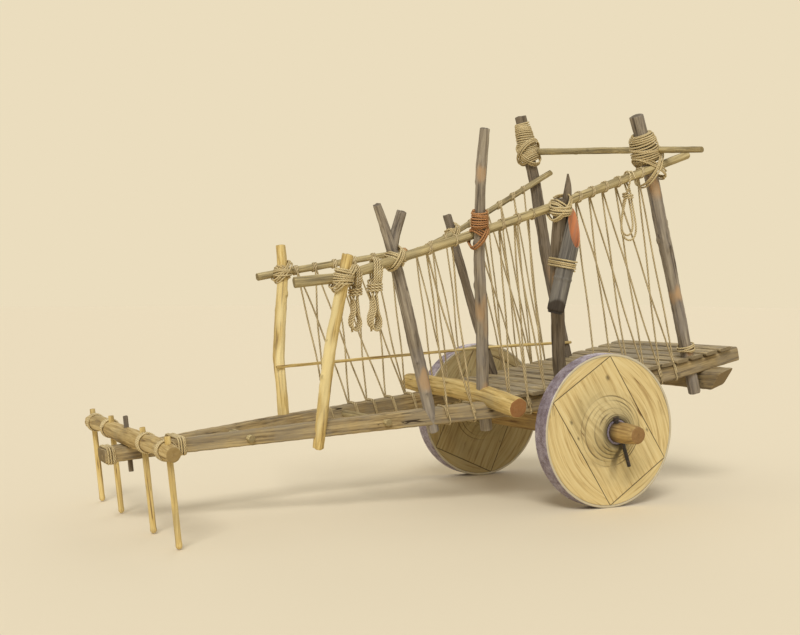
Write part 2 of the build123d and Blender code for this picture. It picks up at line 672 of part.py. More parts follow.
# Wheels: one turned blank, cut into a middle plank, two side segments and two end segments.
wheels = {}
bush_radius = arm_radius + bush_play + bush_wall
half_hub = hub_length / 2
half_rim = rim_width / 2
bore = bush_radius + seat_gap
# The carved boss rises to the hub in four dressed bands, steeper towards the hub.
boss_spread = boss_foot_radius - boss_radius
front_profile = [(boss_foot_radius - share * boss_spread, half_rim + share ** boss_hollow * hub_swell)
                 for share in (1.0, 0.8, 0.56, 0.3, 0.0)]
front_profile = [(bore, half_hub)] + front_profile + [(wood_radius, half_rim)]
back_profile = [(radius, -y) for radius, y in reversed(front_profile)]
blank = revolve(make_face(Polyline(front_profile + back_profile, close=True)), Axis.Y)
plank_length = 2 * sqrt(wood_radius ** 2 - (plank_width / 2) ** 2)
inner_x = (plank_width - joint_gap) / 2
inner_z = (plank_length - joint_gap) / 2
middle = blank & Box(2 * inner_x, 2 * hub_length, 2 * inner_z)
segments = []
outer_x = inner_x + joint_gap
outer_z = inner_z + joint_gap
for sign in (1, -1):
    segments.append(blank & Pos(sign * (outer_x + wheel_radius), 0, 0) * Box(
        2 * wheel_radius, 2 * hub_length, wheel_diameter))
    segments.append(blank & Pos(0, 0, sign * (outer_z + wheel_radius)) * Box(
        2 * inner_x, 2 * hub_length, 2 * wheel_radius))
tyre_sketch = Polyline((wheel_radius - tyre_thickness, half_rim), (wheel_radius - 3, half_rim),
                       (wheel_radius, half_rim - 5), (wheel_radius, 5 - half_rim),
                       (wheel_radius - 3, -half_rim), (wheel_radius - tyre_thickness, -half_rim), close=True)
tyre = revolve(make_face(tyre_sketch), Axis.Y)
bush_sketch = Pos((bush_radius + arm_radius + bush_play) / 2, 0) * Rectangle(bush_wall, hub_length)
bush = revolve(bush_sketch, Axis.Y)
for side, sign in SIDES.items():
    place = Pos(0, sign * wheel_y, axle_z) * Rot(0, plank_tilt[side], 0)
    wheels[f"wheel_{side}_plank"] = place * middle
    wheels[f"wheel_{side}_segments"] = group([place * segment for segment in segments])
    wheels[f"wheel_{side}_tyre"] = place * tyre
    wheels[f"wheel_{side}_bush"] = place * bush

# Parked: the nose goes down about the axle until the yoke pins' tips stand on the ground.
tip_x = yoke_centre.X + neck_pin_drop * sin(nose_slope)
tip_rise = yoke_centre.Z - neck_pin_drop * cos(nose_slope) - axle_z
reach = hypot(tip_x, tip_rise)
nose_down = degrees(atan2(tip_rise, tip_x) + asin((axle_z - neck_pin_tip_radius) / reach))
parked = Pos(0, 0, axle_z) * Rot(0, nose_down, 0) * Pos(0, 0, -axle_z)


def parked_point(x, y, z):
    """Where a point of the hitched cart is when the cart is parked."""
    c = cos(radians(nose_down))
    s = sin(radians(nose_down))
    return x * c + (z - axle_z) * s, y, axle_z + (z - axle_z) * c - x * s


nodes = {name: parked * shape for name, shape in (cart | yoke).items()}
nodes |= wheels

# Ropes hung over the left top rail, plumb as the cart is parked. Two are folded hanks.
rail_rows = sorted(left_rail)
rail_room = parked * pole(longer(left_rail, END), 1.0)
# Name, x on the rail, width along the rail, thickness, hang below the rail's centre.
hank_table = (
    ("hank_front", 1130.0, 44.0, 34.0, 300.0),
    ("hank_middle", 1010.0, 56.0, 40.0, 335.0),
)
for name, x, width, thickness, hang in hank_table:
    _, y, z, radius = along(rail_rows, x)
    px, py, pz = parked_point(x, y, z)
    crown = radius + rope_over
    rings = []
    for drop, wide, thick in ((-crown, 0.8 * width, 1.1 * radius), (-crown + 16, width, 2 * crown),
                              (crown, width, 2 * crown), (0.42 * hang, width, thickness),
                              (0.85 * hang, width + 8, thickness + 2), (hang, 0.6 * width, 0.8 * thickness)):
        outline = chamfered(wide, thick, 9.0)
        rings.append([(px + across, py + deep, pz - drop) for across, deep in outline])
    nodes[name] = hewn(rings) - rail_room

# The third is an open loop, wider at the bottom.
loop_x, loop_hang, loop_width, loop_thickness = -720.0, 385.0, 126.0, 30.0
_, y, z, radius = along(rail_rows, loop_x)
px, py, pz = parked_point(loop_x, y, z)
top_radius = radius + 2
low_radius = loop_width / 2 - 15
low_place = loop_hang - loop_width / 2


def drop_outline(grow):
    """Drop shape of the loop's outline, hull of a small circle on the rail and a larger one below."""
    return make_hull((Circle(top_radius + grow) + Pos(0, -low_place) * Circle(low_radius + grow)).edges())


loop_face = Plane(origin=(px, py, pz), x_dir=(1, 0, 0), z_dir=(0, -1, 0))
loop_shape = extrude(loop_face * (drop_outline(15.0) - drop_outline(0.0)), loop_thickness / 2, both=True)
loop_crown = radius + rope_over
strap = Pos(px, py, pz) * Box(2 * top_radius + 30, 2 * loop_crown, 2 * loop_crown)
nodes["loop_rear"] = loop_shape + strap - rail_room

low_x = min(shape.bounding_box().min.X for shape in nodes.values())
high_x = max(shape.bounding_box().max.X for shape in nodes.values())
shift = -(low_x + high_x) / 2

os.makedirs("parts", exist_ok=True)
for name, shape in nodes.items():
    export_step(Pos(shift, 0, 0) * shape, f"parts/{name}.step")

print("nodes", len(nodes))
print("nose down, degrees", round(nose_down, 4), "shift", round(shift, 3), "axle z", axle_z, "wheel y", wheel_y)
print("nose slope, degrees", round(degrees(nose_slope), 4))
hinge = parked_point(yoke_centre.X, 0, yoke_centre.Z)
print("yoke centre", [round(hinge[0] + shift, 3), 0, round(hinge[2], 3)])
for side, sign in SIDES.items():
    gauge, rise, _, _ = beam_at(tail_x + tail_hole_inset)
    width = along(beam_rows, tail_x + tail_hole_inset)[3]
    place = parked_point(tail_x + tail_hole_inset, sign * (gauge + width / 2), axle_z + rise)
    print("tail hole", side, [round(place[0] + shift, 3), round(place[1], 3), round(place[2], 3)], "width", width)
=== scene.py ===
import bpy
import numpy as np
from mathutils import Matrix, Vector


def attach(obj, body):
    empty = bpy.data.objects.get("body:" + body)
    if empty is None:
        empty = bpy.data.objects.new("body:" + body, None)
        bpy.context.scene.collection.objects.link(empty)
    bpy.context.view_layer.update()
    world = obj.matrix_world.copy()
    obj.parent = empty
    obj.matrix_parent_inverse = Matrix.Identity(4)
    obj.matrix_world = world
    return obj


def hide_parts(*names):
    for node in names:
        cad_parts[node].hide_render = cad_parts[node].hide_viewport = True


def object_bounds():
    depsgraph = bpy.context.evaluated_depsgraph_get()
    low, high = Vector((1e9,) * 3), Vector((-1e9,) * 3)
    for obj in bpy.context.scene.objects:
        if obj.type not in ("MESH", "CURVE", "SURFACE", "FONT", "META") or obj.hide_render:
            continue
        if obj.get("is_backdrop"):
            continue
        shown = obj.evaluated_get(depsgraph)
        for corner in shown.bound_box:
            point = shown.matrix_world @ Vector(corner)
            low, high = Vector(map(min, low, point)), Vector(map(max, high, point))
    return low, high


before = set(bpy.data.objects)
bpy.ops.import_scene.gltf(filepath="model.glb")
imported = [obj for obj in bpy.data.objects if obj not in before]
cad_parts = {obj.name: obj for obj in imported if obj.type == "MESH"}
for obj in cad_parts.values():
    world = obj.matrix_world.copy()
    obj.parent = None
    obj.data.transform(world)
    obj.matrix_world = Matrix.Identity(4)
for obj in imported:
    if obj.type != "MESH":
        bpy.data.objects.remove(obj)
low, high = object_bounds()

# Camera: it stands ahead of the cart on its left, 1.27 m above the ground, and looks a little down.
# From there the near wheel stands in front of the axle, and the yoke is nearest.
eye = Vector((3.567, 6.64, 1.27))
gaze = Vector((-0.454, -0.891, -0.0222))
camera = bpy.data.objects.new("Camera", bpy.data.cameras.new("Camera"))
camera.data.lens = 55.8
camera.location = eye
camera.rotation_euler = gaze.to_track_quat("-Z", "Y").to_euler()
bpy.context.scene.collection.objects.link(camera)
bpy.context.scene.camera = camera


# Ropes that hang from the left top rail: two folded hanks and an open loop of three-strand coir
# rope, 13 mm thick. They are hung over the rail, and the turns are bound with the rope's own end.
ROPE = 0.013


def colour(code):
    """An sRGB hex value as linear red, green, blue and alpha: each channel by the sRGB curve."""
    s = np.array([int(code[i:i + 2], 16) / 255 for i in (1, 3, 5)])
    linear = np.where(s <= 0.04045, s / 12.92, ((s + 0.055) / 1.055) ** 2.4)
    return (*linear.tolist(), 1.0)


def add(tree, kind, *values, out=0, stops=(), **named):
    """Adds one node and gives back one of its outputs. Values go to its inputs in order, names in
    capitals are inputs too, and the others are settings. A socket is linked, a hex value becomes a
    colour, and stops are a colour ramp's. Mix mixes colours: its sockets are 0, 6 and 7, and 2."""
    made = tree.nodes.new("ShaderNode" + kind)
    if kind == "Mix":
        made.data_type, out = "RGBA", 2
    for name in [name for name in named if name[0].islower()]:
        setattr(made, name, named.pop(name))
    feed(made, {**dict(zip((0, 6, 7) if kind == "Mix" else range(3), values)), **named})
    if stops:
        ramp = made.color_ramp.elements
        while len(ramp) < len(stops):
            ramp.new(0.5)
        for element, (position, value) in zip(ramp, stops):
            element.position = position
            element.color = colour(value) if isinstance(value, str) else (value, value, value, 1.0)
    return made.outputs[out]


def feed(node, values):
    """Links a node's inputs to sockets, or gives them fixed values or colours."""
    for place, value in values.items():
        if isinstance(value, bpy.types.NodeSocket):
            node.id_data.links.new(value, node.inputs[place])
        else:
            node.inputs[place].default_value = colour(value) if isinstance(value, str) else value


def begin(name):
    """A new material with its node tree and its shader."""
    made = bpy.data.materials.new(name)
    made.use_nodes = True
    return made, made.node_tree, made.node_tree.nodes["Principled BSDF"]


def coir(name, pale, mid, dark, stained):
    """Rope of twisted coconut fibre: pale on the crown of each strand, with painted shade between the
    strands, and dull all over. Its single fibres run along the rope. They are 0.3 mm thick and too
    fine to show, so they are drawn 1 mm apart. 'tone' is 1 between strands, where the shade is painted,
    and 'bare' marks a stain."""
    made, tree, shader = begin(name)
    along = add(tree, "Attribute", out="Vector", attribute_name="grain")
    place = add(tree, "TexCoord", out="Object")
    groove_shade, stain = (add(tree, "Attribute", out="Fac", attribute_name=mark) for mark in ("tone", "bare"))
    fibre = add(tree, "Mapping", Vector=along, Scale=(60, 900, 900))
    fibre = add(tree, "TexNoise", Vector=fibre, Scale=1.0, Detail=3.0)
    dirt = add(tree, "TexNoise", Vector=place, Scale=9.0, Detail=4.0)
    # Painted shade: the grooves between the strands are darkened.
    shade = add(tree, "Math", groove_shade, 0.68, operation="MULTIPLY")
    shade = add(tree, "Math", fibre, 0.5, shade, operation="MULTIPLY_ADD")
    shade = add(tree, "Math", dirt, 0.4, shade, operation="MULTIPLY_ADD")
    tint = add(tree, "ValToRGB", shade, stops=[(0.42, pale), (0.66, mid), (0.98, dark)])
    dyed = add(tree, "Mix", 1.0, tint, stained, blend_type="MULTIPLY")
    bump = add(tree, "Bump", Height=fibre, Strength=0.5, Distance=0.0008)
    feed(shader, {"Base Color": add(tree, "Mix", stain, tint, dyed), "Normal": bump, "Roughness": 0.93,
                  "Specular IOR Level": 0.2})
    return made


# Sun-bleached straw rope: almost white on the crowns, with brown painted shade in the grooves.
rope_straw = coir("coir_rope", "#F0E2B8", "#D6BF8C", "#6A5433", "#E2B8A4")


def shell(name, skins, finish, body, slot):
    """One mesh from skins, that stands for the node of its name. A skin is rings of points (ring,
    place round the ring, 3), with its marks: the vector 'grain' and the numbers 'tone', 'cut' and
    'bare' at them. Each ring joins the next with quads, the end rings are closed flat, and a skin
    whose last ring is its first joins up. A skin whose volume comes out negative, the sum of
    a.(b x c) over its triangles, is turned round."""
    points, faces, start = [], [], 0
    marks = {"grain": [], "tone": [], "cut": [], "bare": []}
    for rings, mark in skins:
        looped = np.allclose(rings[0], rings[-1])
        if looped:
            rings, mark = rings[:-1], {key: value[:-1] for key, value in mark.items()}
        n, m = rings.shape[:2]
        row, place = np.meshgrid(np.arange(n if looped else n - 1), np.arange(m), indexing="ij")
        after, beyond = (place + 1) % m, (row + 1) % n
        quads = np.stack([row * m + place, row * m + after, beyond * m + after, beyond * m + place], -1)
        quads = quads.reshape(-1, 4)
        ends = np.stack([np.arange(m)[::-1], (n - 1) * m + np.arange(m)])[:0 if looped else 2]
        flat = rings.reshape(-1, 3)
        a, b, c, d = (flat - flat.mean(0))[quads.T]
        if (np.cross(b, c) * a).sum() + (np.cross(c, d) * a).sum() < 0:
            quads, ends = quads[:, ::-1], ends[:, ::-1]
        faces += (quads + start).tolist() + (ends + start).tolist()
        points.append(flat)
        for key, found in marks.items():
            blank = np.zeros(rings.shape if key == "grain" else (n, m))
            found.append(np.broadcast_to(mark.get(key, blank), blank.shape).reshape(n * m, -1))
        start += n * m
    mesh = bpy.data.meshes.new(f"{name}_{slot}")
    mesh.from_pydata(np.concatenate(points), [], faces, shade_flat=False)
    for key, found in marks.items():
        kind, field = ("FLOAT_VECTOR", "vector") if key == "grain" else ("FLOAT", "value")
        values = np.concatenate(found).astype(np.float32).ravel()
        mesh.attributes.new(key, kind, "POINT").data.foreach_set(field, values)
    mesh.materials.append(finish)
    made = bpy.data.objects.new(mesh.name, mesh)
    bpy.context.scene.collection.objects.link(made)
    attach(made, body)
    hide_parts(name)
    return made


def run_along(line):
    """Length along a line at each of its points."""
    return np.r_[0, np.cumsum(np.linalg.norm(np.diff(line[:, :3], axis=0), axis=1))]


def spaced(points, step):
    """The same line with points about one step apart: each column read at even lengths along it."""
    points = np.asarray(points, float)
    run = run_along(points)
    even = np.linspace(0, run[-1], max(2, int(round(run[-1] / step)) + 1))
    return np.stack([np.interp(even, run, column) for column in points.T], 1)


def eased(points, width):
    """The line with its corners eased: the bell-weighted mean over width points, with its ends kept."""
    reach = min(int(3 * width), len(points) - 2)
    bell = np.exp(-0.5 * (np.arange(-reach, reach + 1) / width) ** 2)
    bell /= bell.sum()
    first = 2 * points[0] - points[reach:0:-1]
    last = 2 * points[-1] - points[-2:-reach - 2:-1]
    padded = np.concatenate([first, points, last])
    return np.stack([np.convolve(column, bell, "valid") for column in padded.T], 1)


def unit(vectors):
    """Vectors cut or stretched to length one."""
    return vectors / np.linalg.norm(vectors, axis=-1, keepdims=True)


def directions(line, beside):
    """Unit vectors along a line and twice across it, the first of these nearest to beside."""
    along = unit(np.gradient(line, axis=0))
    beside = np.broadcast_to(beside, line.shape)
    first = unit(beside - (beside * along).sum(1, keepdims=True) * along)
    return along, first, np.cross(along, first)


def turned_out(turn, first, second):
    """The direction at each angle between two directions square to each other."""
    return np.cos(turn)[..., None] * first + np.sin(turn)[..., None] * second


def laid_rope(line, thick, beside, around=12, lay=3.6):
    """Three-strand rope along a line: the radius swells three times round, |cos 1.5a|, and the ring
    turns once in every lay diameters. 'tone' is 1 in the valleys between the strands, and marks where
    shade is painted there."""
    _, first, second = directions(line, beside)
    run = run_along(line)[:, None]
    place = np.linspace(0, 2 * np.pi, around, endpoint=False)[None, :]
    swell = np.abs(np.cos(1.5 * place))
    radius = thick / 2 * (0.8 + 0.2 * swell)
    out = turned_out(place + 2 * np.pi * run / (lay * thick), first[:, None], second[:, None])
    grain = np.stack(np.broadcast_arrays(run, radius * np.cos(place), radius * np.sin(place)), -1)
    return line[:, None] + radius[..., None] * out, {"grain": grain, "tone": (1 - swell) + 0 * run}


def hung_rope(name, points, beside):
    """A free rope on its route: the points steer one smooth spline, which is read back as a line, and
    the strands follow that line. Its real length is the line's own."""
    curve = bpy.data.curves.new(name + "_route", "CURVE")
    curve.dimensions = "3D"
    curve.resolution_u = 8
    spline = curve.splines.new("NURBS")
    spline.points.add(len(points) - 1)
    spline.points.foreach_set("co", np.c_[points, np.ones(len(points))].ravel())
    spline.order_u = 3
    spline.use_endpoint_u = True
    route = bpy.data.objects.new(name + "_route", curve)
    read = bpy.data.meshes.new_from_object(route)
    line = np.zeros(len(read.vertices) * 3)
    read.vertices.foreach_get("co", line)
    bpy.data.objects.remove(route)
    line = spaced(line.reshape(-1, 3), ROPE * 0.3)
    made = shell(name, [laid_rope(line, ROPE, beside)], rope_straw, "cart", "rope")


# One turn of a hank, seen along the rail: millimetres across it and up from its centre. It goes down
# in front, narrows to the neck, opens to a round bight, comes up behind and goes over the rail.
hank_front_half = np.array([
    (36, 0), (31, -45), (18, -85), (11, -125), (9.5, -160), (10, -195), (18, -222), (30, -245), (33, -272),
    (24, -297), (0, -307)])
hank_over = [(-37, 0), (-29, 31), (0, 44), (29, 31)]
hank_turn = np.concatenate([hank_front_half, hank_front_half[-2:0:-1] * (-1, 1), hank_over]) / 1000
# The rope's end, as degrees about the hank and millimetres out and up: it comes up inside the neck and
# swings out round it, binds it, and from the last turn hangs down beside the bights.
hank_swing = [
    (5, 24.5, -112), (-8, 24.8, -100), (-22, 26, -88), (-38, 31, -78), (-57, 36.5, -71), (-80, 39.5, -68),
    (-104, 40, -69), (-128, 38.5, -74.5), (-152, 37, -82)]
hank_end = [
    (-1135, 36, -128.5), (-1152, 37, -139.5), (-1160, 38.5, -154.5), (-1162, 39, -176.5), (-1160, 38, -211.5),
    (-1158, 37, -251.5), (-1160, 35, -291.5), (-1164, 33, -326.5)]
BIND_OUT, BIND_LOW, BIND_PITCH = 35.5, -88.0, 13.8  # the binding's radius, first height and rise a turn
NECK_TOP, NECK_LONG, TWIST = 0.045, 0.165, np.radians(105)  # where the twist starts, ends, and how much
TURNS_APART = 0.0146  # along the rail

for name, centre, turns, hang, wide in (
        ("hank_front", (0.7004, 0.4747, 1.3644), 3, 1.0, 1.06),
        ("hank_middle", (0.5857, 0.4819, 1.3997), 4, 1.10, 1.26)):
    count = len(hank_turn)
    each = np.arange(turns * count - 6)
    across, down = hank_turn[each % count].T
    down = down * hang
    # Each bight hangs a little lower than the one before it.
    down = down - 0.006 * (each // count) * (down < -0.21)
    # The turns lie side by side on the rail, and are twisted together above their bights.
    beside = TURNS_APART * (each / count - turns / 2)
    share = np.clip((-down / hang - NECK_TOP) / NECK_LONG, 0, 1)
    turned = TWIST * share ** 2 * (3 - 2 * share)
    hank = np.stack([beside * np.cos(turned) - across * np.sin(turned),
                     beside * np.sin(turned) + across * np.cos(turned), down], 1)
    turn = np.arange(-175, -1111, -45)
    bound = np.stack([turn, BIND_OUT + 0 * turn, BIND_LOW + BIND_PITCH * (turn + 175) / 360], 1)
    turn, far, height = (np.concatenate([hank_swing, bound, hank_end]) / (1, 1000, 1000)).T
    turn = np.radians(turn)
    bound = np.stack([wide * far * np.cos(turn), far * np.sin(turn), height * hang], 1)
    hung_rope(name, np.concatenate([hank, bound]) + centre, (0.9, 0.1, 0.4))

# The open loop goes over the rail twice and hangs in two drops, one inside the other. Its end binds
# them below the rail. Millimetres along the rail, across it and up.
loop_points = np.array([
    (-22, 37, -6), (-20, 28, 28), (-18, 0, 41), (-16, -28, 28), (-14, -38, 0), (-12, -28, -30), (-11, -6, -52),
    (-13, 7, -85), (-20, 9, -130), (-36, 8, -195), (-52, 8, -262), (-58, 8, -316), (-45, 9, -358), (-10, 10, -380),
    (28, 9, -368), (53, 8, -328), (54, 8, -275), (42, 8, -205), (24, 9, -135), (12, 14, -88), (10, 27, -44),
    (9, 38, -2), (8, 28, 28), (6, 0, 41), (4, -28, 28), (3, -38, 0), (1, -31, -34), (-3, -17, -70), (-10, -8, -108),
    (-23, -7, -168), (-38, -7, -236), (-44, -6, -290), (-34, -6, -330), (-5, -7, -350), (26, -7, -338),
    (42, -7, -300), (40, -7, -248), (31, -7, -190), (27, -7, -150), (29, 0, -126)])
turn = np.radians(np.arange(45, 2 * 360 + 46, 45))
bound = np.stack([31 * np.cos(turn), 30 * np.sin(turn), -124 + BIND_PITCH * turn / (2 * np.pi)], 1)
loop_points = np.concatenate([loop_points, bound]) / 1000
hung_rope("loop_rear", loop_points + (-1.0558, 0.5918, 1.9458), (0.2, 1.0, 0.3))


# Poles: the posts, rails and bars are crooked branches, cut green, roughly peeled and dried on the
# cart. Each one tapers, keeps its knots and a rough skin, and greys where the weather has it.
def waves(s, a, seed, fine, turns, count=12):
    """Sum of count cosines whose phase runs up to fine radians a metre along s and a whole number of
    times round a, with random phases: an even, seamless roughness of about -1 to 1."""
    rng = np.random.default_rng(seed)
    run = rng.uniform(-fine, fine, count)
    lap = rng.integers(-turns, turns + 1, count)
    phase = rng.uniform(0, 2 * np.pi, count)
    return np.cos(s[..., None] * run + a[..., None] * lap + phase).sum(-1) / np.sqrt(count)


def timber(rows, seed, beside=(1.0, 0.1, 0.0), rough=0.0011, swell=0.035, knots=4, around=40,
           step=0.012, arris=0.004, ease=3.5, bare=(), adze=0.0):
    """Skin of a length of wood along rows of x, y, z, half width, half depth and squareness p. Its
    section is the rounded rectangle |cos a / w|^p + |sin a / d|^p = r^-p, a circle at p 2. The radius
    swells and twists slowly, has fine ridges, a collar with a hollow at each knot, and adze hollows
    across the grain. Each end closes over a small arris to a flat cut face, where 'cut' is 1."""
    rows = np.asarray(rows, float)
    if rows.shape[1] == 4:
        rows = np.c_[rows, rows[:, 3], np.full(len(rows), 2.0)]
    line = eased(spaced(rows, step), ease)
    along, first, second = directions(line[:, :3], beside)
    run = run_along(line)
    s, a = run[:, None], np.linspace(0, 2 * np.pi, around, endpoint=False)[None, :]
    w, d, p = line[:, 3:4], line[:, 4:5], line[:, 5:6]
    radius = (np.abs(np.cos(a) / w) ** p + np.abs(np.sin(a) / d) ** p) ** (-1 / p)
    size = np.minimum(w, d)
    radius = radius * (1 + swell * waves(s, a, seed, 7.0, 2))
    radius = radius + rough * waves(s, a, seed + 1, 26.0, 9, 18) + 0.4 * rough * waves(s, a, seed + 2, 90.0, 16, 24)
    radius = radius - adze * np.abs(np.sin(np.pi * s / 0.085 + 1.4 * waves(s, a, seed + 3, 9.0, 2)))
    tone = 0.12 * np.clip(waves(s, a, seed + 4, 12.0, 3), 0, None)
    rng = np.random.default_rng(seed + 5)
    for share, turn, wide in zip(rng.uniform(0.08, 0.95, knots), rng.uniform(0, 2 * np.pi, knots),
                                 rng.uniform(0.22, 0.42, knots)):
        over = np.angle(np.exp(1j * (a - turn))) * size
        off = np.hypot((s - share * run[-1]) * 0.75, over) / (wide * size)
        radius = radius + (0.25 + 8 * swell) * size * wide * np.exp(-off ** 2)
        radius = radius - 0.12 * size * np.exp(-(off / 0.45) ** 2)
        tone = np.maximum(tone, 0.85 * np.exp(-(off / 0.55) ** 2))
    show = np.zeros_like(radius)
    for centre, wide, turn in bare:
        over = np.angle(np.exp(1j * (a - turn)))
        far = np.hypot((s / run[-1] - centre) / wide, over / 1.7) + 0.35 * waves(s, a, seed + 6, 30.0, 3)
        show = np.maximum(show, np.clip(1.6 - 1.6 * far, 0, 1))
    closing = np.array([(0.02, 1.0), (0.35, 1.05), (0.7, 1.0), (0.93, 0.95), (0.985, 0.6)])
    n, k = len(line), len(closing)
    pick = np.r_[np.zeros(k, int), np.arange(n), np.full(k, n - 1)]
    share = np.r_[closing[:, 0], np.ones(n), closing[::-1, 0]][:, None]
    push = np.r_[-closing[:, 1], np.zeros(n), closing[::-1, 1]][:, None]
    face = share < 0.99
    push = push * arris * (1 + 0.35 * face * waves(share * 9.0, a, seed + 7, 2.0, 3))
    radius, tone, show = radius[pick] * share, tone[pick], show[pick]
    out = turned_out(a, first[pick][:, None], second[pick][:, None])
    rings = line[pick][:, None, :3] + radius[..., None] * out + push[..., None] * along[pick][:, None]
    grain = np.stack([s[pick] + push + 1.37 * seed, radius * np.cos(a), radius * np.sin(a)], -1)
    return rings, {"grain": grain, "tone": tone, "cut": (share < 0.97) + 0 * a, "bare": show}


def wood(name, pale, mid, dark, weather, bared, greying=0.5, checks=0.5, patch=3.5, relief=0.0016, rough=0.85,
         fissure="#2E251C", end=None):
    """Old timber, dull and dry. Streaks of early and late wood run with the 'grain' mark, 16 mm apart.
    Its fibres are 0.1 mm thick and too fine to show, so they are drawn 2 mm apart. Weather greys it in
    patches, drying opens checks along the grain, 'bare' shows the wood under the skin, and on the wheels
    grease and painted shade, 'tone' is grime and painted shade, and 'cut' shows growth rings 4 mm
    apart."""
    made, tree, shader = begin(name)
    grain = add(tree, "Attribute", out="Vector", attribute_name="grain")
    tone, cut, bare = (add(tree, "Attribute", out="Fac", attribute_name=mark) for mark in ("tone", "cut", "bare"))
    place = add(tree, "TexCoord", out="Object")
    # Streaks and fibres.
    streak = add(tree, "Mapping", Vector=grain, Scale=(3.2, 62, 62))
    streak = add(tree, "TexNoise", Vector=streak, Scale=1.0, Detail=5.0, Distortion=0.6)
    fibre = add(tree, "Mapping", Vector=grain, Scale=(9, 420, 420))
    fibre = add(tree, "TexNoise", Vector=fibre, Scale=1.0, Detail=3.0)
    blend = add(tree, "Math", fibre, 0.35, streak, operation="MULTIPLY_ADD")
    base = add(tree, "ValToRGB", blend, stops=[(0.48, dark), (0.64, mid), (0.86, pale)])
    # Weather, in patches a few hundred millimetres long.
    drawn = add(tree, "Mapping", Vector=place, Scale=(1.0, 1.0, 0.55))
    cloud = add(tree, "TexNoise", Vector=drawn, Scale=patch, Detail=6.0, Roughness=0.62)
    edge = 0.62 - 0.3 * greying
    mask = add(tree, "ValToRGB", cloud, stops=[(edge, 0.0), (edge + 0.12, 1.0)])
    veil = add(tree, "Math", mask, 0.85, operation="MULTIPLY")
    coat = add(tree, "Mix", veil, base, add(tree, "Mix", fibre, weather, base))
    coat = add(tree, "Mix", bare, coat, add(tree, "Mix", streak, bared, pale))
    # Checks: narrow bands where a stretched noise passes its middle value.
    split = add(tree, "Mapping", Vector=grain, Scale=(1.1, 34, 34))
    split = add(tree, "TexNoise", Vector=split, Scale=1.0, Detail=1.5, Distortion=0.3)
    band = add(tree, "Math", split, 0.5, operation="SUBTRACT")
    band = add(tree, "Math", band, operation="ABSOLUTE")
    band = add(tree, "ValToRGB", band, stops=[(0.004 + 0.006 * checks, 1.0), (0.016 + 0.012 * checks, 0.0)])
    where = add(tree, "TexNoise", Vector=place, Scale=7.0, Detail=2.0)
    where = add(tree, "ValToRGB", where, stops=[(0.76 - 0.3 * checks, 0.0), (0.86 - 0.3 * checks, 1.0)])
    crack = add(tree, "Math", band, where, operation="MULTIPLY")
    coat = add(tree, "Mix", crack, coat, fissure)
    # Growth rings on a cut end: a sine of the distance from the heart, 2 pi for each 4 mm.
    across, up = (add(tree, "SeparateXYZ", grain, out=axis) for axis in (1, 2))
    flat = add(tree, "CombineXYZ", Y=across, Z=up)
    wander = add(tree, "TexNoise", Vector=flat, Scale=30.0, Detail=2.0)
    ring = add(tree, "VectorMath", flat, out=1, operation="LENGTH")
    ring = add(tree, "Math", wander, 0.010, ring, operation="MULTIPLY_ADD")
    ring = add(tree, "Math", ring, 1570.0, operation="MULTIPLY")
    ring = add(tree, "Math", ring, operation="SINE")
    ring = add(tree, "Math", ring, 0.22, 0.5, operation="MULTIPLY_ADD")
    ended = add(tree, "Math", cut, 0.9, operation="MULTIPLY")
    coat = add(tree, "Mix", ended, coat, add(tree, "Mix", ring, end or mid, dark))
    # Grime, and painted shade where 'tone' marks it.
    grime_and_shade = add(tree, "Math", tone, 0.85, operation="MULTIPLY", use_clamp=True)
    worn = add(tree, "Math", fibre, 0.22, rough - 0.12, operation="MULTIPLY_ADD")
    height = add(tree, "Math", crack, -1.6, blend, operation="MULTIPLY_ADD")
    bump = add(tree, "Bump", Height=height, Strength=0.8, Distance=relief)
    feed(shader, {"Base Color": add(tree, "Mix", grime_and_shade, coat, "#33291F"), "Roughness": worn,
                  "Specular IOR Level": 0.3, "Normal": bump})
    return made


# Acacia branch that keeps its skin: silver grey, nearly without checks.
grey_branch = wood("weathered_acacia_branch", "#B0A48E", "#8A7E6D", "#4E453A", "#98918A", "#B98A54", 0.55, 0.3)
# Teak branch under smoke and grease: darker and browner than the acacia.
umber_branch = wood("smoked_teak_branch", "#8E7F6C", "#70634F", "#453B31", "#7D7468", "#A9804C", 0.45, 0.3)
# Grass pole, peeled: straw yellow and lively in the grain, with brown checks.
straw_branch = wood("peeled_grass_pole", "#EBD392", "#D2B570", "#80633A", "#A3936C", "#EFDFAA", 0.45, 0.45,
                    fissure="#6E5630")
# Neem pole, peeled and handled: olive buff and even.
rail_branch = wood("peeled_neem_pole", "#D2C08E", "#A8966A", "#6C5D40", "#8E8468", "#D9C794", 0.5, 0.2)

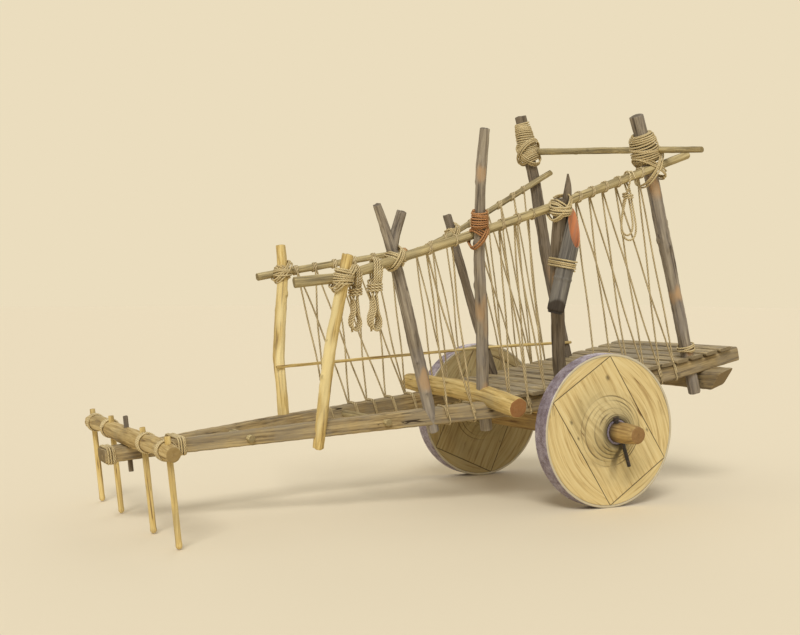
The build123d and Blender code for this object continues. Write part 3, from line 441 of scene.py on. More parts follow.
# Finish, knots, patches where the skin is gone (share of the length, half length, turn), and rows of
# x, y, z and radius from foot to tip, in millimetres.
post_table = {
    "post_left_front": (straw_branch, 5, [(0.55, 0.5, 0.5)], [
        (819.7, 235, 389.4, 31), (823.6, 400, 919.1, 32), (799.3, 513, 1281.2, 32),
        (773, 530, 1456.3, 30)]),
    "post_left_forked": (grey_branch, 5, [(0.3, 0.06, 1.2)], [
        (136.5, 335.5, 457.8, 34), (314.3, 420.5, 1010, 34), (454.9, 440.5, 1481.7, 34)]),
    "post_left_tall": (grey_branch, 6, [(0.40, 0.05, 1.2), (0.87, 0.03, 0.6), (0.12, 0.04, 1.6)], [
        (-236.7, 310.1, 444.2, 35), (-195.8, 335.1, 662.9, 35), (-117.5, 450.1, 1115.2, 34),
        (-9, 604.1, 1480.6, 32), (20, 660.1, 1711.2, 31), (37.4, 700.1, 1913, 30),
        (43.3, 750.1, 2153.3, 27)]),
    "post_left_middle": (umber_branch, 4, [(0.6, 0.05, 1.0)], [
        (-695.9, 454.4, 568.4, 40), (-648.1, 459.4, 871.8, 40), (-570.3, 549.4, 1456, 40),
        (-539.2, 640.4, 1759.6, 39), (-535.7, 646.4, 1789, 38)]),
    "post_left_rear": (grey_branch, 6, [(0.76, 0.05, 1.2), (0.12, 0.05, 2.0), (0.36, 0.03, 0.4)], [
        (-1667.6, 485.2, 624.6, 38), (-1437.7, 500.2, 1467.5, 40), (-1272.3, 532.2, 1988.9, 42),
        (-1141.9, 560.2, 2321.8, 44)]),
    "post_right_front": (straw_branch, 3, [(0.5, 0.4, 2.0)], [
        (830, -232.8, 388.6, 33), (847.4, -307.8, 886, 33), (789.6, -372.8, 1379.2, 33),
        (798.8, -387.8, 1534.2, 30)]),
    "post_right_middle": (umber_branch, 4, [], [
        (-795.6, -461.3, 601.5, 28), (-661.2, -501.3, 1006.8, 28), (-466.4, -561.3, 1721.8, 28),
        (-455.1, -564.3, 1762.3, 27)]),
    "post_right_rear": (umber_branch, 5, [(0.4, 0.06, 1.5)], [
        (-1381.7, -469.9, 644.9, 39), (-1224.9, -529.9, 1467.5, 40), (-1165.8, -599.9, 2027.4, 40),
        (-1065.3, -619.9, 2457.6, 38)]),
}
# The fork's two prongs start inside the trunk.
prongs = [
    [(449, 439.8, 1462, 31), (498.4, 457.5, 1581.1, 27), (580.3, 500.5, 1733, 20)],
    [(454.9, 440, 1472, 31), (445.8, 453.5, 1588, 30), (418.5, 480.5, 1702.4, 28)]]
stems = {name: np.array(rows) / 1000 for name, (*_, rows) in post_table.items()}
thick_branch = {"rough": 0.0018, "arris": 0.007}
for seed, (name, (finish, knots, bare, _)) in enumerate(post_table.items()):
    skins = [timber(stems[name], 11 + 9 * seed, knots=knots, bare=bare, swell=0.05, **thick_branch)]
    if name == "post_left_forked":
        skins += [timber(np.array(prong) / 1000, 100 + seed, knots=2, swell=0.06, **thick_branch)
                  for seed, prong in enumerate(prongs)]
    shell(name, skins, finish, "cart", "bark_pole")

# Top rails, rear bar, side lath, stake and spreader rungs: thinner poles, tied across the posts.
# Rows of x, y, z and radius, in millimetres.
left_rail = np.array([
    (1040.8, 432, 1311.7, 30), (791, 469, 1336.6, 26), (443.5, 490.9, 1443.4, 26),
    (4.3, 580.4, 1586.8, 26), (-538.9, 583.9, 1761.6, 26), (-1260.6, 594.9, 2018.8, 26),
    (-1496, 606.9, 2103.1, 24)]) / 1000
right_front_rail = np.array([
    (939.4, -402.3, 1348.5, 22), (790.1, -419.3, 1374.8, 22), (-120.8, -502.3, 1518.7, 18)]) / 1000
right_rear_rail = np.array([
    (-50.2, -495, 1477.6, 16), (-130.3, -502.3, 1490.3, 17), (-486.4, -517.1, 1648.3, 18),
    (-1165.8, -547.9, 2027.4, 20), (-1263.9, -547.9, 2081, 19)]) / 1000
rear_bar = np.array([
    (-1165.2, -690.4, 2232.6, 22), (-1173.7, -608.4, 2226, 22), (-1275.7, 542.7, 2130.2, 20),
    (-1304.7, 960.7, 2090.3, 18)]) / 1000
lath = np.array([(874.5, -253, 811.6, 9), (-700.3, -454.7, 889.1, 9), (-1361.4, -442.3, 909.6, 9)]) / 1000
stake = np.array([
    (-606.7, 546, 1483.8, 22), (-591.9, 586.9, 1647.5, 26), (-584.6, 633.9, 1792.6, 27),
    (-584.1, 647.9, 1876.7, 20), (-576, 655.9, 1939.3, 5)]) / 1000
# Name, finish, knots, direction that stays beside, rows.
thin_poles = (
    ("top_rail_left", rail_branch, 9, (0, 0.2, 1), left_rail),
    ("top_rail_right_front", rail_branch, 4, (0, 0.2, 1), right_front_rail),
    ("top_rail_right_rear", rail_branch, 4, (0, 0.2, 1), right_rear_rail),
    ("rear_top_bar", rail_branch, 5, (0, 0, 1), rear_bar),
    ("side_lath_right", straw_branch, 3, (0, 0, 1), lath),
    ("stake_left", umber_branch, 1, (1, 0, 0), stake))
for seed, (name, finish, knots, beside, rows) in enumerate(thin_poles):
    skin = timber(rows, 200 + 9 * seed, beside, rough=0.0008, knots=knots, around=28, ease=2.5)
    shell(name, [skin], finish, "cart", "bark_pole")
rungs = [
    [(440.6, -364.8, 516.9, 20), (441.8, 0, 520.7, 22), (440.6, 364.8, 516.9, 20)],
    [(1209.3, -224.3, 452.3, 20), (1210.5, 0, 456.1, 22), (1209.3, 224.3, 452.3, 20)]]
skins = [timber(np.array(rows) / 1000, 260 + 9 * seed, (1, 0, 0), rough=0.0008, knots=1, around=28)
         for seed, rows in enumerate(rungs)]
shell("spreader_rungs", skins, rail_branch, "cart", "pole_wood")


# Front crossbar: a crooked log laid in notches on the two side beams. Its skin is off.
# Peeled sal: warm yellow with deep checks, and red-brown where it is sawn across.
log_wood = wood("peeled_sal_log", "#DFC78A", "#C6A967", "#8E7346", "#A3946E", "#E4D09A", 0.35, 0.55,
                fissure="#4A3A24", end="#8A3A18")
log_rows = [
    (-0.2163, 0.69, 0.6012, 0.058), (-0.2027, 0.392, 0.642, 0.058), (-0.1946, 0.0, 0.6667, 0.056),
    (-0.1952, -0.392, 0.6648, 0.057), (-0.1939, -0.6, 0.6686, 0.053)]
log = timber(log_rows, 300, (1, 0, 0), rough=0.0016, swell=0.03, knots=5, around=48, arris=0.003)
shell("front_crossbar", [log], log_wood, "cart", "log_wood")


# Side beams, bolster and rear crossbar: squared with an adze, which leaves hollows across the grain,
# and dried to open checks. The beams come together at the nose.
TILT = np.radians(18.3395)  # the parked cart's nose is this far down
LEVEL = np.array((np.cos(TILT), 0, -np.sin(TILT)))  # along the floor, forward
UPRIGHT = np.array((np.sin(TILT), 0, np.cos(TILT)))  # square to the floor
# Old teak from the adze: grey-brown, strongly weathered, with dark checks.
beam_wood = wood("adzed_old_teak", "#BFA878", "#98835C", "#62523A", "#8F8674", "#C8AD74", 0.6, 0.6,
                 fissure="#3A2E20")
# Mango board under the floor: sheltered, so that it stays yellow-brown.
bolster_wood = wood("hewn_mango_board", "#D2B87A", "#B69A62", "#7E6840", "#9C8D6C", "#DABF80", 0.25, 0.5)
adzed = {"swell": 0.006, "around": 64}  # what every squared timber has
# Rows of x, y, z, width and depth, in millimetres.
beam_rows = np.array([
    (-1973.4, 500, 862.3, 92, 92), (-1509.9, 490, 766.6, 100, 100), (-733.4, 470, 630.3, 104, 108),
    (-226.7, 392, 569.8, 100, 104), (851.2, 222, 484.4, 88, 90), (1700.4, 42.4, 408.3, 84, 80),
    (1976.2, 38.4, 382.2, 76, 74)]) / 1000
for side, sign in (("left", 1), ("right", -1)):
    rows = np.c_[beam_rows * (1, sign, 1, 0.5, 0.5), np.full(len(beam_rows), 7.0)]
    skin = timber(rows, 320 + sign, (0, 1, 0), rough=0.0007, knots=3, adze=0.0016, ease=2.0, **adzed)
    shell(f"side_beam_{side}", [skin], beam_wood, "cart", "old_wood")
rows = [(-0.7585, y, 0.5544, 0.065, 0.045, 8.0) for y in (-0.56, 0.56)]
board = timber(rows, 340, LEVEL, rough=0.0006, knots=2, adze=0.0014, **adzed)
shell("bolster", [board], bolster_wood, "cart", "planed_wood")

# The rear crossbar's ends are cut obliquely: each ring is slid along until its ends lie in the cuts.
BAR_RIGHT, BAR_LEFT, BAR_HALF, BAR_X, BAR_Z = -0.62, 0.70, 0.0625, -1.7598, 0.7121
BAR_LONG = BAR_LEFT - BAR_RIGHT
rows = [(BAR_X, y, BAR_Z, 0.060, BAR_HALF, 7.0) for y in (BAR_RIGHT, BAR_LEFT)]
rings, mark = timber(rows, 350, LEVEL, rough=0.0007, knots=2, adze=0.0016, **adzed)
below = BAR_HALF - (rings - (BAR_X, 0, BAR_Z)) @ UPRIGHT
to_left = np.clip((rings[..., 1] - BAR_RIGHT) / BAR_LONG, 0, 1)
to_right = np.clip((BAR_LEFT - rings[..., 1]) / BAR_LONG, 0, 1)
rings[..., 1] += to_left * -1.12 * below + to_right * 0.56 * below
shell("rear_crossbar", [(rings, mark)], beam_wood, "cart", "old_wood")


# Floor: fourteen split slats laid across the side beams, each with its own edge and wear.
# Split mango: rubbed by the load, dusty grey-brown.
slat_wood = wood("split_mango_slat", "#C0AC80", "#988766", "#64563F", "#908877", "#C4AC78")
SLAT_HALF = 0.011
# Rows of x and z of the rear lower edge, x and z of the front lower edge, and half length.
slat_rows = np.array([
    (-1.8945, 0.8935, -1.8036, 0.8755, 0.5706), (-1.7808, 0.8711, -1.6899, 0.8531, 0.5682),
    (-1.6671, 0.8486, -1.5762, 0.8306, 0.5657), (-1.5534, 0.8261, -1.4622, 0.8089, 0.5633),
    (-1.4392, 0.8050, -1.3475, 0.7894, 0.5606), (-1.3246, 0.7855, -1.2328, 0.7699, 0.5576),
    (-1.2099, 0.7660, -1.1181, 0.7503, 0.5547), (-1.0952, 0.7464, -1.0035, 0.7308, 0.5517),
    (-0.9805, 0.7269, -0.8888, 0.7113, 0.5488), (-0.8659, 0.7074, -0.7741, 0.6917, 0.5458),
    (-0.7512, 0.6878, -0.6586, 0.6748, 0.5429), (-0.6353, 0.6719, -0.5422, 0.6604, 0.5295),
    (-0.5189, 0.6576, -0.4258, 0.6461, 0.5116), (-0.4025, 0.6432, -0.3094, 0.6317, 0.4936)])
skins = []
for seed, (x0, z0, x1, z1, half) in enumerate(slat_rows):
    lean = np.array((x1 - x0, 0, z1 - z0)) / np.hypot(x1 - x0, z1 - z0)
    middle = np.array(((x0 + x1) / 2, 0, (z0 + z1) / 2)) + SLAT_HALF * np.array((-lean[2], 0, lean[0]))
    rows = [(middle[0], y, middle[2], 0.0455, SLAT_HALF, 6.0) for y in (-half, -0.2, 0.2, half)]
    skins.append(timber(rows, 400 + 7 * seed, lean, rough=0.0005, swell=0.012, knots=1, around=48, step=0.02,
                        arris=0.002))
shell("floor_slats", skins, slat_wood, "cart", "old_wood")


# Axle: one squared timber whose ends are turned to round arms. The arms stick far out of the hubs,
# blackened with grease, and their ends are worn round.
# Babul soaked with grease: red-brown, a little glossy, and lighter on the cut end.
axle_wood = wood("greased_babul_axle", "#C2A468", "#A08250", "#6A4E30", "#8F7A56", "#B4934F", 0.15, 0.5, rough=0.7,
                 end="#A9824E")
HUB = np.array((-0.793137, 0.724, 0.45))
# Rows from the middle outwards: distance along the axle, half width, half depth and squareness.
half_axle = np.array([
    (0.0, 0.060, 0.065, 8.0), (0.583, 0.060, 0.065, 8.0), (0.592, 0.060, 0.060, 2.6),
    (0.600, 0.0597, 0.0597, 2.0), (0.890, 0.0597, 0.0597, 2.0), (0.960, 0.058, 0.057, 2.0),
    (1.020, 0.054, 0.053, 2.0), (1.034, 0.050, 0.049, 2.0)])
rows = [(HUB[0], sign * y, HUB[2], w, d, p) for sign, half in ((-1, half_axle[:0:-1]), (1, half_axle))
        for y, w, d, p in half]
rings, mark = timber(rows, 500, LEVEL, rough=0.0005, swell=0.004, knots=0, around=64, step=0.006, arris=0.006,
                     ease=1.5, adze=0.0006)
# Grease from the hub's face spreads 75 mm along the arm.
HUB_FACE, GREASE, SHOULDER = 0.846, 0.075, 0.6
out = np.abs(rings[..., 1])
mark["tone"] = np.maximum(mark["tone"], np.clip(1.1 - (out - HUB_FACE) / GREASE, 0, 1) * (out > SHOULDER))
shell("axle", [(rings, mark)], axle_wood, "cart", "axle_wood")


# Wheels: five pieces of plank, pegged edge to edge and dressed round: a middle plank as wide as half
# the wheel, two side segments and two short end segments. The boss is carved, with turned grooves, and
# the inner faces are darkened with painted shade.
# Babul plank, dressed: pale yellow and smooth, with fine checks, and olive where 'bare' marks
# grease and painted shade round the boss.
wheel_wood = wood("dressed_babul_plank", "#E2CE98", "#D8C086", "#B59964", "#CDBA8C", "#857A54", 0.15, 0.55,
                  patch=4.0, relief=0.0010, fissure="#86683F")
WOOD_RADIUS, PLANK_HALF, GAP = 0.4352, 0.2348, 0.0004
RIM_HALF, HUB_HALF, BOSS, BOSS_FOOT = 0.056, 0.124, 0.105, 0.228
ARRIS, EYE = 0.004, 0.0722  # EYE is the radius of the hole for the bush
HALF_LONG = np.sqrt(WOOD_RADIUS ** 2 - PLANK_HALF ** 2)  # of the middle plank
INNER_SHADE = 0.42  # how dark the inner faces are
grooves = (0.087, 0.101, 0.118, 0.137, 0.158, 0.181, 0.206)


def face_height(r, a, seed):
    """Half the wheel's thickness at radius r: flat rim, a hollow flare up to the hub, and the grooves
    that the carver cut round the boss, drawn 8 mm wide so that they show, which wander and fade as
    they go round."""
    rise = np.clip((BOSS_FOOT - r) / (BOSS_FOOT - BOSS), 0, 1)
    height, line = RIM_HALF + (HUB_HALF - RIM_HALF) * rise ** 2.1, 0 * r
    for k, groove in enumerate(grooves):
        wander = groove * (1 + 0.012 * waves(0 * a, a, seed + k, 1.0, 3))
        press = np.clip(0.75 + 0.45 * waves(0 * a, a, seed + k + 40, 1.0, 4), 0.1, 1.3)
        cut = np.exp(-((r - wander) / 0.0038) ** 2) * press
        # 'line' marks the grooves, where the plank gets painted shade.
        height, line = height - 0.0028 * cut, np.maximum(line, cut)
    return height, line


def hewn(x, z, seed):
    """Low hollows that the adze left on a face, about 60 mm across and 1 mm deep."""
    rng = np.random.default_rng(seed)
    k = rng.normal(0, 55, (10, 2))
    phase = rng.uniform(0, 2 * np.pi, 10)
    return 0.0005 * np.cos(x[..., None] * k[:, 0] + z[..., None] * k[:, 1] + phase).sum(-1) / 3


def on_wheel(x, y, z, sign, tilt):
    """Points of a wheel's own frame, its middle plank upright, set at its hub and leaned forward."""
    c, s = np.cos(np.radians(tilt)), np.sin(np.radians(tilt))
    return np.stack([HUB[0] + x * c + z * s, sign * (HUB[1] + y), HUB[2] - x * s + z * c], -1)


def middle_plank(sign, tilt, seed):
    """Skin of the middle plank: rings out from the bush, circles as far as the boss's foot and then
    drawn to the plank's oblong outline, over the arris, and back along the other face. Painted shade
    lies in the grooves, on the boss and on the inner face, grease has run down from the axle, and two
    knots and the pegs show at the joints."""
    corner = np.arctan2(HALF_LONG, PLANK_HALF)
    turns = (-corner, corner, np.pi - corner, np.pi + corner, 2 * np.pi - corner)
    a = np.concatenate([np.linspace(turns[k], turns[k + 1], count, endpoint=False)
                        for k, count in enumerate((60, 48, 60, 48))])[None, :]
    edge = np.minimum(PLANK_HALF / np.maximum(np.abs(np.cos(a)), 1e-9),
                      HALF_LONG / np.maximum(np.abs(np.sin(a)), 1e-9))
    inner = np.linspace(EYE, BOSS_FOOT, 98)[:, None] + 0 * a
    share = np.linspace(0, 1, 41)[1:, None]
    outer = BOSS_FOOT + share * (edge - ARRIS - BOSS_FOOT)
    r = np.concatenate([inner, outer])
    x, z = r * np.cos(a), r * np.sin(a)
    y, line = face_height(r, a + 0 * r, seed)
    y = y + hewn(x, z, seed) * (r > BOSS) - 0.003 * np.exp(-((r - EYE) / 0.003) ** 2)
    round_off = np.radians([30, 60, 90])[:, None]
    r_arris = edge - ARRIS + ARRIS * np.sin(round_off)
    y_arris = y[-1:] - ARRIS + ARRIS * np.cos(round_off)
    r_front, y_front = np.concatenate([r, r_arris]), np.concatenate([y, y_arris])
    r_all = np.concatenate([r_front, r_front[::-1], r_front[:1]])
    y_all = np.concatenate([y_front, -y_front[::-1], y_front[:1]])
    line = np.concatenate([line, 0 * r_arris, 0 * r_arris, line[::-1], line[:1]])
    x, z = r_all * np.cos(a), r_all * np.sin(a)
    # Where the cart stands, straight down from the hub is this way on the plank.
    c, s = np.cos(np.radians(tilt)), np.sin(np.radians(tilt))
    down, aside = x * s - z * c, x * c + z * s
    wide = 0.016 + 0.08 * np.clip(down - 0.07, 0, None) + 0.003 * waves(down, 0 * down, seed + 90, 60.0, 0)
    run = np.exp(-((aside + 0.022) / wide) ** 4) * np.clip((0.30 - down) / 0.16, 0, 1)
    tone = np.maximum.reduce([
        # Grease and painted shade darken the wood near the bush, and more faintly out over the boss.
        1.1 * np.clip(1 - (r_all - 0.072) / 0.044, 0, 1), 0.38 * np.clip(1 - (r_all - 0.072) / 0.12, 0, 1),
        # Painted shade in the grooves, and grease that has run down below the hub on the outer face.
        0.72 * line, 0.95 * run * (down > 0.05) * (y_all > 0),
        0.9 * (edge - r_all < 0.6 * ARRIS) + 0 * r_all,
        0.16 * np.clip(waves(r_all * 9, a + 0 * r_all, seed + 91, 12.0, 6), 0, 1) * (r_all < 0.24),
        # Painted shade on the inner face.
        INNER_SHADE * (y_all < 0) + 0 * r_all])
    for at_x, at_z, size in (
            (-0.152, 0.271, 0.012), (0.196, 0.200, 0.009), (0.206, 0.095, 0.007), (-0.219, -0.150, 0.008)):
        tone = np.maximum(tone, 0.8 * np.exp(-(((x - at_x) ** 2 + 0.5 * (z - at_z) ** 2) / size ** 2) ** 2))
    # Grease and painted shade turn the wood round the boss olive.
    worn = np.clip(1.35 - r_all / 0.21 + 0.26 * waves(r_all * 4, a + 0 * r_all, seed + 92, 9.0, 2), 0, 1)
    rings = on_wheel(x, y_all, z, sign, tilt)
    return rings, {"grain": np.stack([z + seed, x, 0.3 * y_all], -1), "tone": tone, "bare": 0.9 * worn}


def segment(chord, half, sign, tilt, side, seed):
    """Skin of a piece between a straight joint and the rim: sections at stations along the joint, each
    from the joint to the circle sqrt(R^2 - u^2), over the arris and back. side is 1 or -1. The end
    pieces, whose joint is the farther one, are turned a quarter."""
    u = half * np.sin(np.linspace(-1, 1, 120) * np.pi / 2 * 0.985)[:, None]
    edge = np.sqrt(WOOD_RADIUS ** 2 - u ** 2)
    wide = np.maximum(edge - chord, 0.0005)
    bevel = np.minimum(ARRIS, 0.4 * wide)
    share = np.linspace(0, 1, 40)[None, :]
    v = chord + bevel + share * (wide - 2 * bevel)
    turn = np.radians([30, 60, 90])[None, :]
    v = np.concatenate([chord + bevel - bevel * np.sin(turn[:, ::-1]), v, edge - bevel + bevel * np.sin(turn)], 1)
    drop = np.concatenate([bevel - bevel * np.cos(turn[:, ::-1]), 0 * share * u, bevel - bevel * np.cos(turn)], 1)
    y = RIM_HALF - drop + hewn(v * side, u + 0 * v, seed) * (drop == 0)
    v_all, y_all = np.concatenate([v, v[:, ::-1]], 1), np.concatenate([y, -y[:, ::-1]], 1)
    u_all = u + 0 * v_all
    x, z = (u_all, side * v_all) if chord > half else (side * v_all, u_all)
    tone = np.maximum(0.9 * (v_all - chord < 0.6 * ARRIS), 0.12 * np.exp(-((edge - v_all) / 0.012) ** 2))
    # The inner face gets painted shade.
    tone = np.maximum(tone, INNER_SHADE * (y_all < 0))
    # The grain bends a little towards the rim, as it does near the outside of a log.
    bow = v_all + 0.35 * (u_all ** 2) / WOOD_RADIUS
    grain = np.stack([u_all + seed, bow, 0.3 * y_all], -1)
    return on_wheel(x, y_all, z, sign, tilt), {"grain": grain, "tone": tone}


# Tyre: one iron strap, bent round hot, welded and shrunk on. Its edges are hammered over, and the
# tread is worn bright in streaks over brown-violet rust.
# Wrought iron, worn and rusted: violet grey, half metallic, with brown flecks 6 mm across and pale
# rubbed edges, which 'bare' marks.
tyre_iron, tree, shader = begin("worn_wrought_iron")
place = add(tree, "TexCoord", out="Object")
rubbed = add(tree, "Attribute", out="Fac", attribute_name="bare")
rust = add(tree, "TexNoise", Vector=place, Scale=22.0, Detail=8.0, Roughness=0.7)
speck = add(tree, "TexNoise", Vector=place, Scale=160.0, Detail=3.0)
tint = add(tree, "ValToRGB", rust, stops=[(0.34, "#7A6C72"), (0.5, "#9C93A2"), (0.66, "#B9B2C0")])
fleck = add(tree, "ValToRGB", speck, stops=[(0.36, 0.55), (0.50, 0.0)])
tint = add(tree, "Mix", rubbed, add(tree, "Mix", fleck, tint, "#6B5148"), "#CFC6AC")
gloss = add(tree, "ValToRGB", rust, stops=[(0.35, 0.75), (0.65, 0.45)])
bump = add(tree, "Bump", Height=speck, Strength=0.35, Distance=0.0015)
feed(shader, {"Base Color": tint, "Roughness": gloss, "Metallic": 0.45, "Normal": bump})


def tyre(sign, seed):
    """Skin of the tyre: its section, an oblong with rounded edges, carried round the wheel, with the
    edges beaten up and down by half a millimetre."""
    a = np.linspace(0, 2 * np.pi, 241)[:, None]
    turn = np.radians([0, 30, 60, 90])
    soft, tread, half = 0.0045, 0.450, RIM_HALF
    edge_r, edge_y = tread - soft + soft * np.cos(turn), half - soft + soft * np.sin(turn)
    inner_r, inner_y = np.array([(0.4385, 0.056), (0.4362, 0.0557), (0.4355, 0.054)]).T
    r = np.concatenate([edge_r, inner_r, inner_r[::-1], edge_r[::-1], [tread] * 3])[None, :]
    y = np.concatenate([edge_y, inner_y, -inner_y[::-1], -edge_y[::-1], [-0.03, 0.0, 0.03]])[None, :]
    dent = 0.0006 * waves(y + 0 * a, a + 0 * y, seed, 60.0, 24)
    r = r - np.abs(dent) * (r > 0.44)
    y = y * (1 + 0.010 * waves(0 * a, a, seed + 1, 1.0, 14))
    rubbed = (np.abs(y) > 0.0545) * (r < 0.4478) * 1.0
    rings = on_wheel(r * np.cos(a), y + 0 * a, r * np.sin(a), sign, 0)
    return rings, {"grain": np.stack(np.broadcast_arrays(0.45 * a, r, y + 0 * a), -1), "bare": rubbed}


for side, sign, tilt in (("left", 1, 33.0), ("right", -1, -24.0)):
    body = f"wheel_{side}"
    shell(f"{body}_plank", [middle_plank(sign, tilt, 3 + sign)], wheel_wood, body, "wheel_wood")
    skins = [segment(chord + GAP, half, sign, tilt, which, seed + which + 3 * sign)
             for chord, half, seed in ((PLANK_HALF, HALF_LONG, 10), (HALF_LONG, PLANK_HALF, 20))
             for which in (1, -1)]
    shell(f"{body}_segments", skins, wheel_wood, body, "wheel_wood")
    shell(f"{body}_tyre", [tyre(sign, 30 + sign)], tyre_iron, body, "iron")
    # The bush that lines the hub's hole is rolled from the same iron.
    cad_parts[f"{body}_bush"].data.materials[0] = tyre_iron


# Linchpins: round iron rods with heads, dropped through the ends of the axle's arms to keep the
# wheels on.
# Iron under axle grease: nearly black, in smears 14 mm across, glossy where the grease is thick.
black_iron, tree, shader = begin("greased_iron")
film = add(tree, "TexNoise", Vector=add(tree, "TexCoord", out="Object"), Scale=70.0, Detail=5.0)
tint = add(tree, "ValToRGB", film, stops=[(0.38, "#1E1B1A"), (0.56, "#3B3430"), (0.70, "#6A4A38")])
gloss = add(tree, "ValToRGB", film, stops=[(0.35, 0.35), (0.65, 0.7)])
bump = add(tree, "Bump", Height=film, Strength=0.4, Distance=0.001)
feed(shader, {"Base Color": tint, "Roughness": gloss, "Normal": bump})
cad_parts["linchpins"].data.materials[0] = black_iron


# Grease tube: a length of thick bamboo, smoked grey, with its joint left as a ring. Its mouth is cut
# long and slantwise, like a spout, and shows orange inside; its foot is plugged and black with pitch.
TUBE_TIE = np.array((-0.5759, 0.6368, 1.417))
TUBE_FOOT, TUBE_LONG, TUBE_OUT, TUBE_IN = -0.276, 0.600, 0.052, 0.044


def parked(x, y, z):
    """A direction given along the level cart, turned nose down as the cart is parked."""
    return np.array((x * np.cos(TILT) + z * np.sin(TILT), y, z * np.cos(TILT) - x * np.sin(TILT)))


tube_run, tube_x = parked(-0.462692, 0.143014, 0.874908), parked(-0.883995, 0.0, -0.467497)
# Bamboo under smoke: even dark grey with fine streaks, and raw orange inside, which 'bare' marks.
bamboo = wood("smoked_bamboo", "#8C867A", "#6E6962", "#4C4843", "#605C56", "#F28C40", 0.3, 0.1, relief=0.0008)
around = np.linspace(0, 2 * np.pi, 56, endpoint=False)[None, :]
rise = np.linspace(0, 1, 70)[:, None]
mouth = (TUBE_FOOT + TUBE_LONG - TUBE_OUT * np.cos(around) * np.tan(np.radians(34.0))
         - 0.105 * (1 + np.cos(around + np.radians(90))))
height = TUBE_FOOT + TUBE_LONG * rise + np.clip((rise - 0.4) / 0.6, 0, 1) * (mouth - TUBE_FOOT - TUBE_LONG)
ring_off = (rise - 0.32) * TUBE_LONG
bulge = 0.004 * np.exp(-(ring_off / 0.008) ** 2) - 0.0022 * np.exp(-((np.abs(ring_off) - 0.013) / 0.004) ** 2)
outer = TUBE_OUT - 0.0008 + bulge + 0.0005 * waves(height, around, 610, 20.0, 4) - 0.003 * np.exp(-rise / 0.012)
lip_r = np.array((TUBE_OUT - 0.001, TUBE_OUT - 0.003, TUBE_IN + 0.003, TUBE_IN))[:, None] + 0 * around
lip_z = mouth + np.array((0.0005, 0.002, 0.002, 0.0))[:, None]
inner_z = mouth + (-0.215 - mouth) * np.linspace(0.02, 1, 20)[:, None]
radius = np.concatenate([TUBE_IN + 0 * around, outer, lip_r, TUBE_IN + 0 * inner_z])
height = np.concatenate([TUBE_FOOT + 0.001 + 0 * around, height, lip_z, inner_z])
rings = (TUBE_TIE + height[..., None] * tube_run + (radius * np.cos(around))[..., None] * tube_x
         + (radius * np.sin(around))[..., None] * np.cross(tube_run, tube_x))
inside = (np.arange(len(radius)) > 71)[:, None] + 0 * around
# Pitch has run 50 mm up the outside, and painted shade darkens the inside from 100 mm below the mouth.
tide = TUBE_FOOT + 0.05 + 0.012 * waves(0 * height, around + 0 * height, 611, 1.0, 5)
pitched = np.clip(1 - (height - tide) / 0.012, 0, 1) * (1 - inside)
mark = {"grain": np.stack([height, radius * np.cos(around), radius * np.sin(around)], -1), "bare": inside,
        "tone": np.maximum(pitched, inside * np.clip((mouth - height - 0.10) / 0.14, 0, 1))}
shell("grease_tube", [(rings, mark)], bamboo, "cart", "bamboo")

# Wood tar boiled to pitch: black and half glossy, with lumps 11 mm across.
pitch, tree, shader = begin("wood_tar_pitch")
lump = add(tree, "TexNoise", Vector=add(tree, "TexCoord", out="Object"), Scale=90.0, Detail=4.0)
tint = add(tree, "ValToRGB", lump, stops=[(0.35, "#141110"), (0.7, "#3A302A")])
bump = add(tree, "Bump", Height=lump, Strength=0.6, Distance=0.002)
feed(shader, {"Base Color": tint, "Roughness": 0.5, "Normal": bump})
rows = [(*(TUBE_TIE + h * tube_run), r) for h, r in ((-0.287, 0.0415), (-0.262, 0.0432), (-0.232, 0.0430))]
plug = timber(rows, 620, tube_x, rough=0.0006, knots=0, step=0.006, arris=0.003, ease=1.0)
shell("grease_tube_plug", [plug], pitch, "cart", "pitch")


# Yoke: a bar adzed flat where it sits on the nose, with a peg through it and four round pins wedged
# through holes. Two places, each between a pair of pins, are worn pale and smooth.
YOKE = np.array((1.839774, 0.0, 0.477458))
YOKE_UP = np.array((0.10475, 0.0, 0.9945))
WORN_AT, SEAT, SEAT_HALF = 0.555, 0.0442, 0.112  # the worn places; the flat's distance and half length


def on_yoke(y, rises):
    """Rows of a round stick that stands in the yoke at y: rises and radii along the yoke's upright."""
    return [(*(YOKE + (0, y, 0) + rise * YOKE_UP), radius) for rise, radius in rises]


# Neem from years of use: yellow-brown and smoothed, pale where 'bare' marks the worn places.
yoke_wood = wood("worn_neem_yoke", "#D0B880", "#B0955E", "#765E38", "#948668", "#DEC894", 0.3, 0.35, rough=0.75)
# Rows from the middle outwards: distance along the bar, how far its axis is lifted, and radius.
half_bar = ((0.120, 0.0, 0.050), (0.330, 0.004, 0.047), (0.555, 0.016, 0.042), (0.780, 0.004, 0.045),
            (0.850, 0.0, 0.038))
rows = [row for side, half in ((-1, half_bar[::-1]), (1, half_bar)) for y, rise, radius in half
        for row in on_yoke(side * y, [(rise, radius)])]
rings, mark = timber(rows, 640, (1, 0, 0), rough=0.0009, swell=0.02, knots=4, around=56, ease=3.0)
down = -((rings - YOKE) @ YOKE_UP)
seat = np.clip(down - SEAT, 0, None) * (np.abs(rings[..., 1]) < SEAT_HALF)
mark["bare"] = np.clip(1.3 - np.abs(np.abs(rings[..., 1]) - WORN_AT) / 0.14, 0, 1) * (down > -0.01)
shell("yoke_beam", [(rings + seat[..., None] * YOKE_UP, mark)], yoke_wood, "yoke", "pole_wood")
stick = {"rough": 0.0003, "swell": 0.02, "knots": 0, "around": 24}
pin = [(0.082, 0.0148), (0.06, 0.0158), (-0.440, 0.0158), (-0.462, 0.0178), (-0.470, 0.0140), (-0.473, 0.0095)]
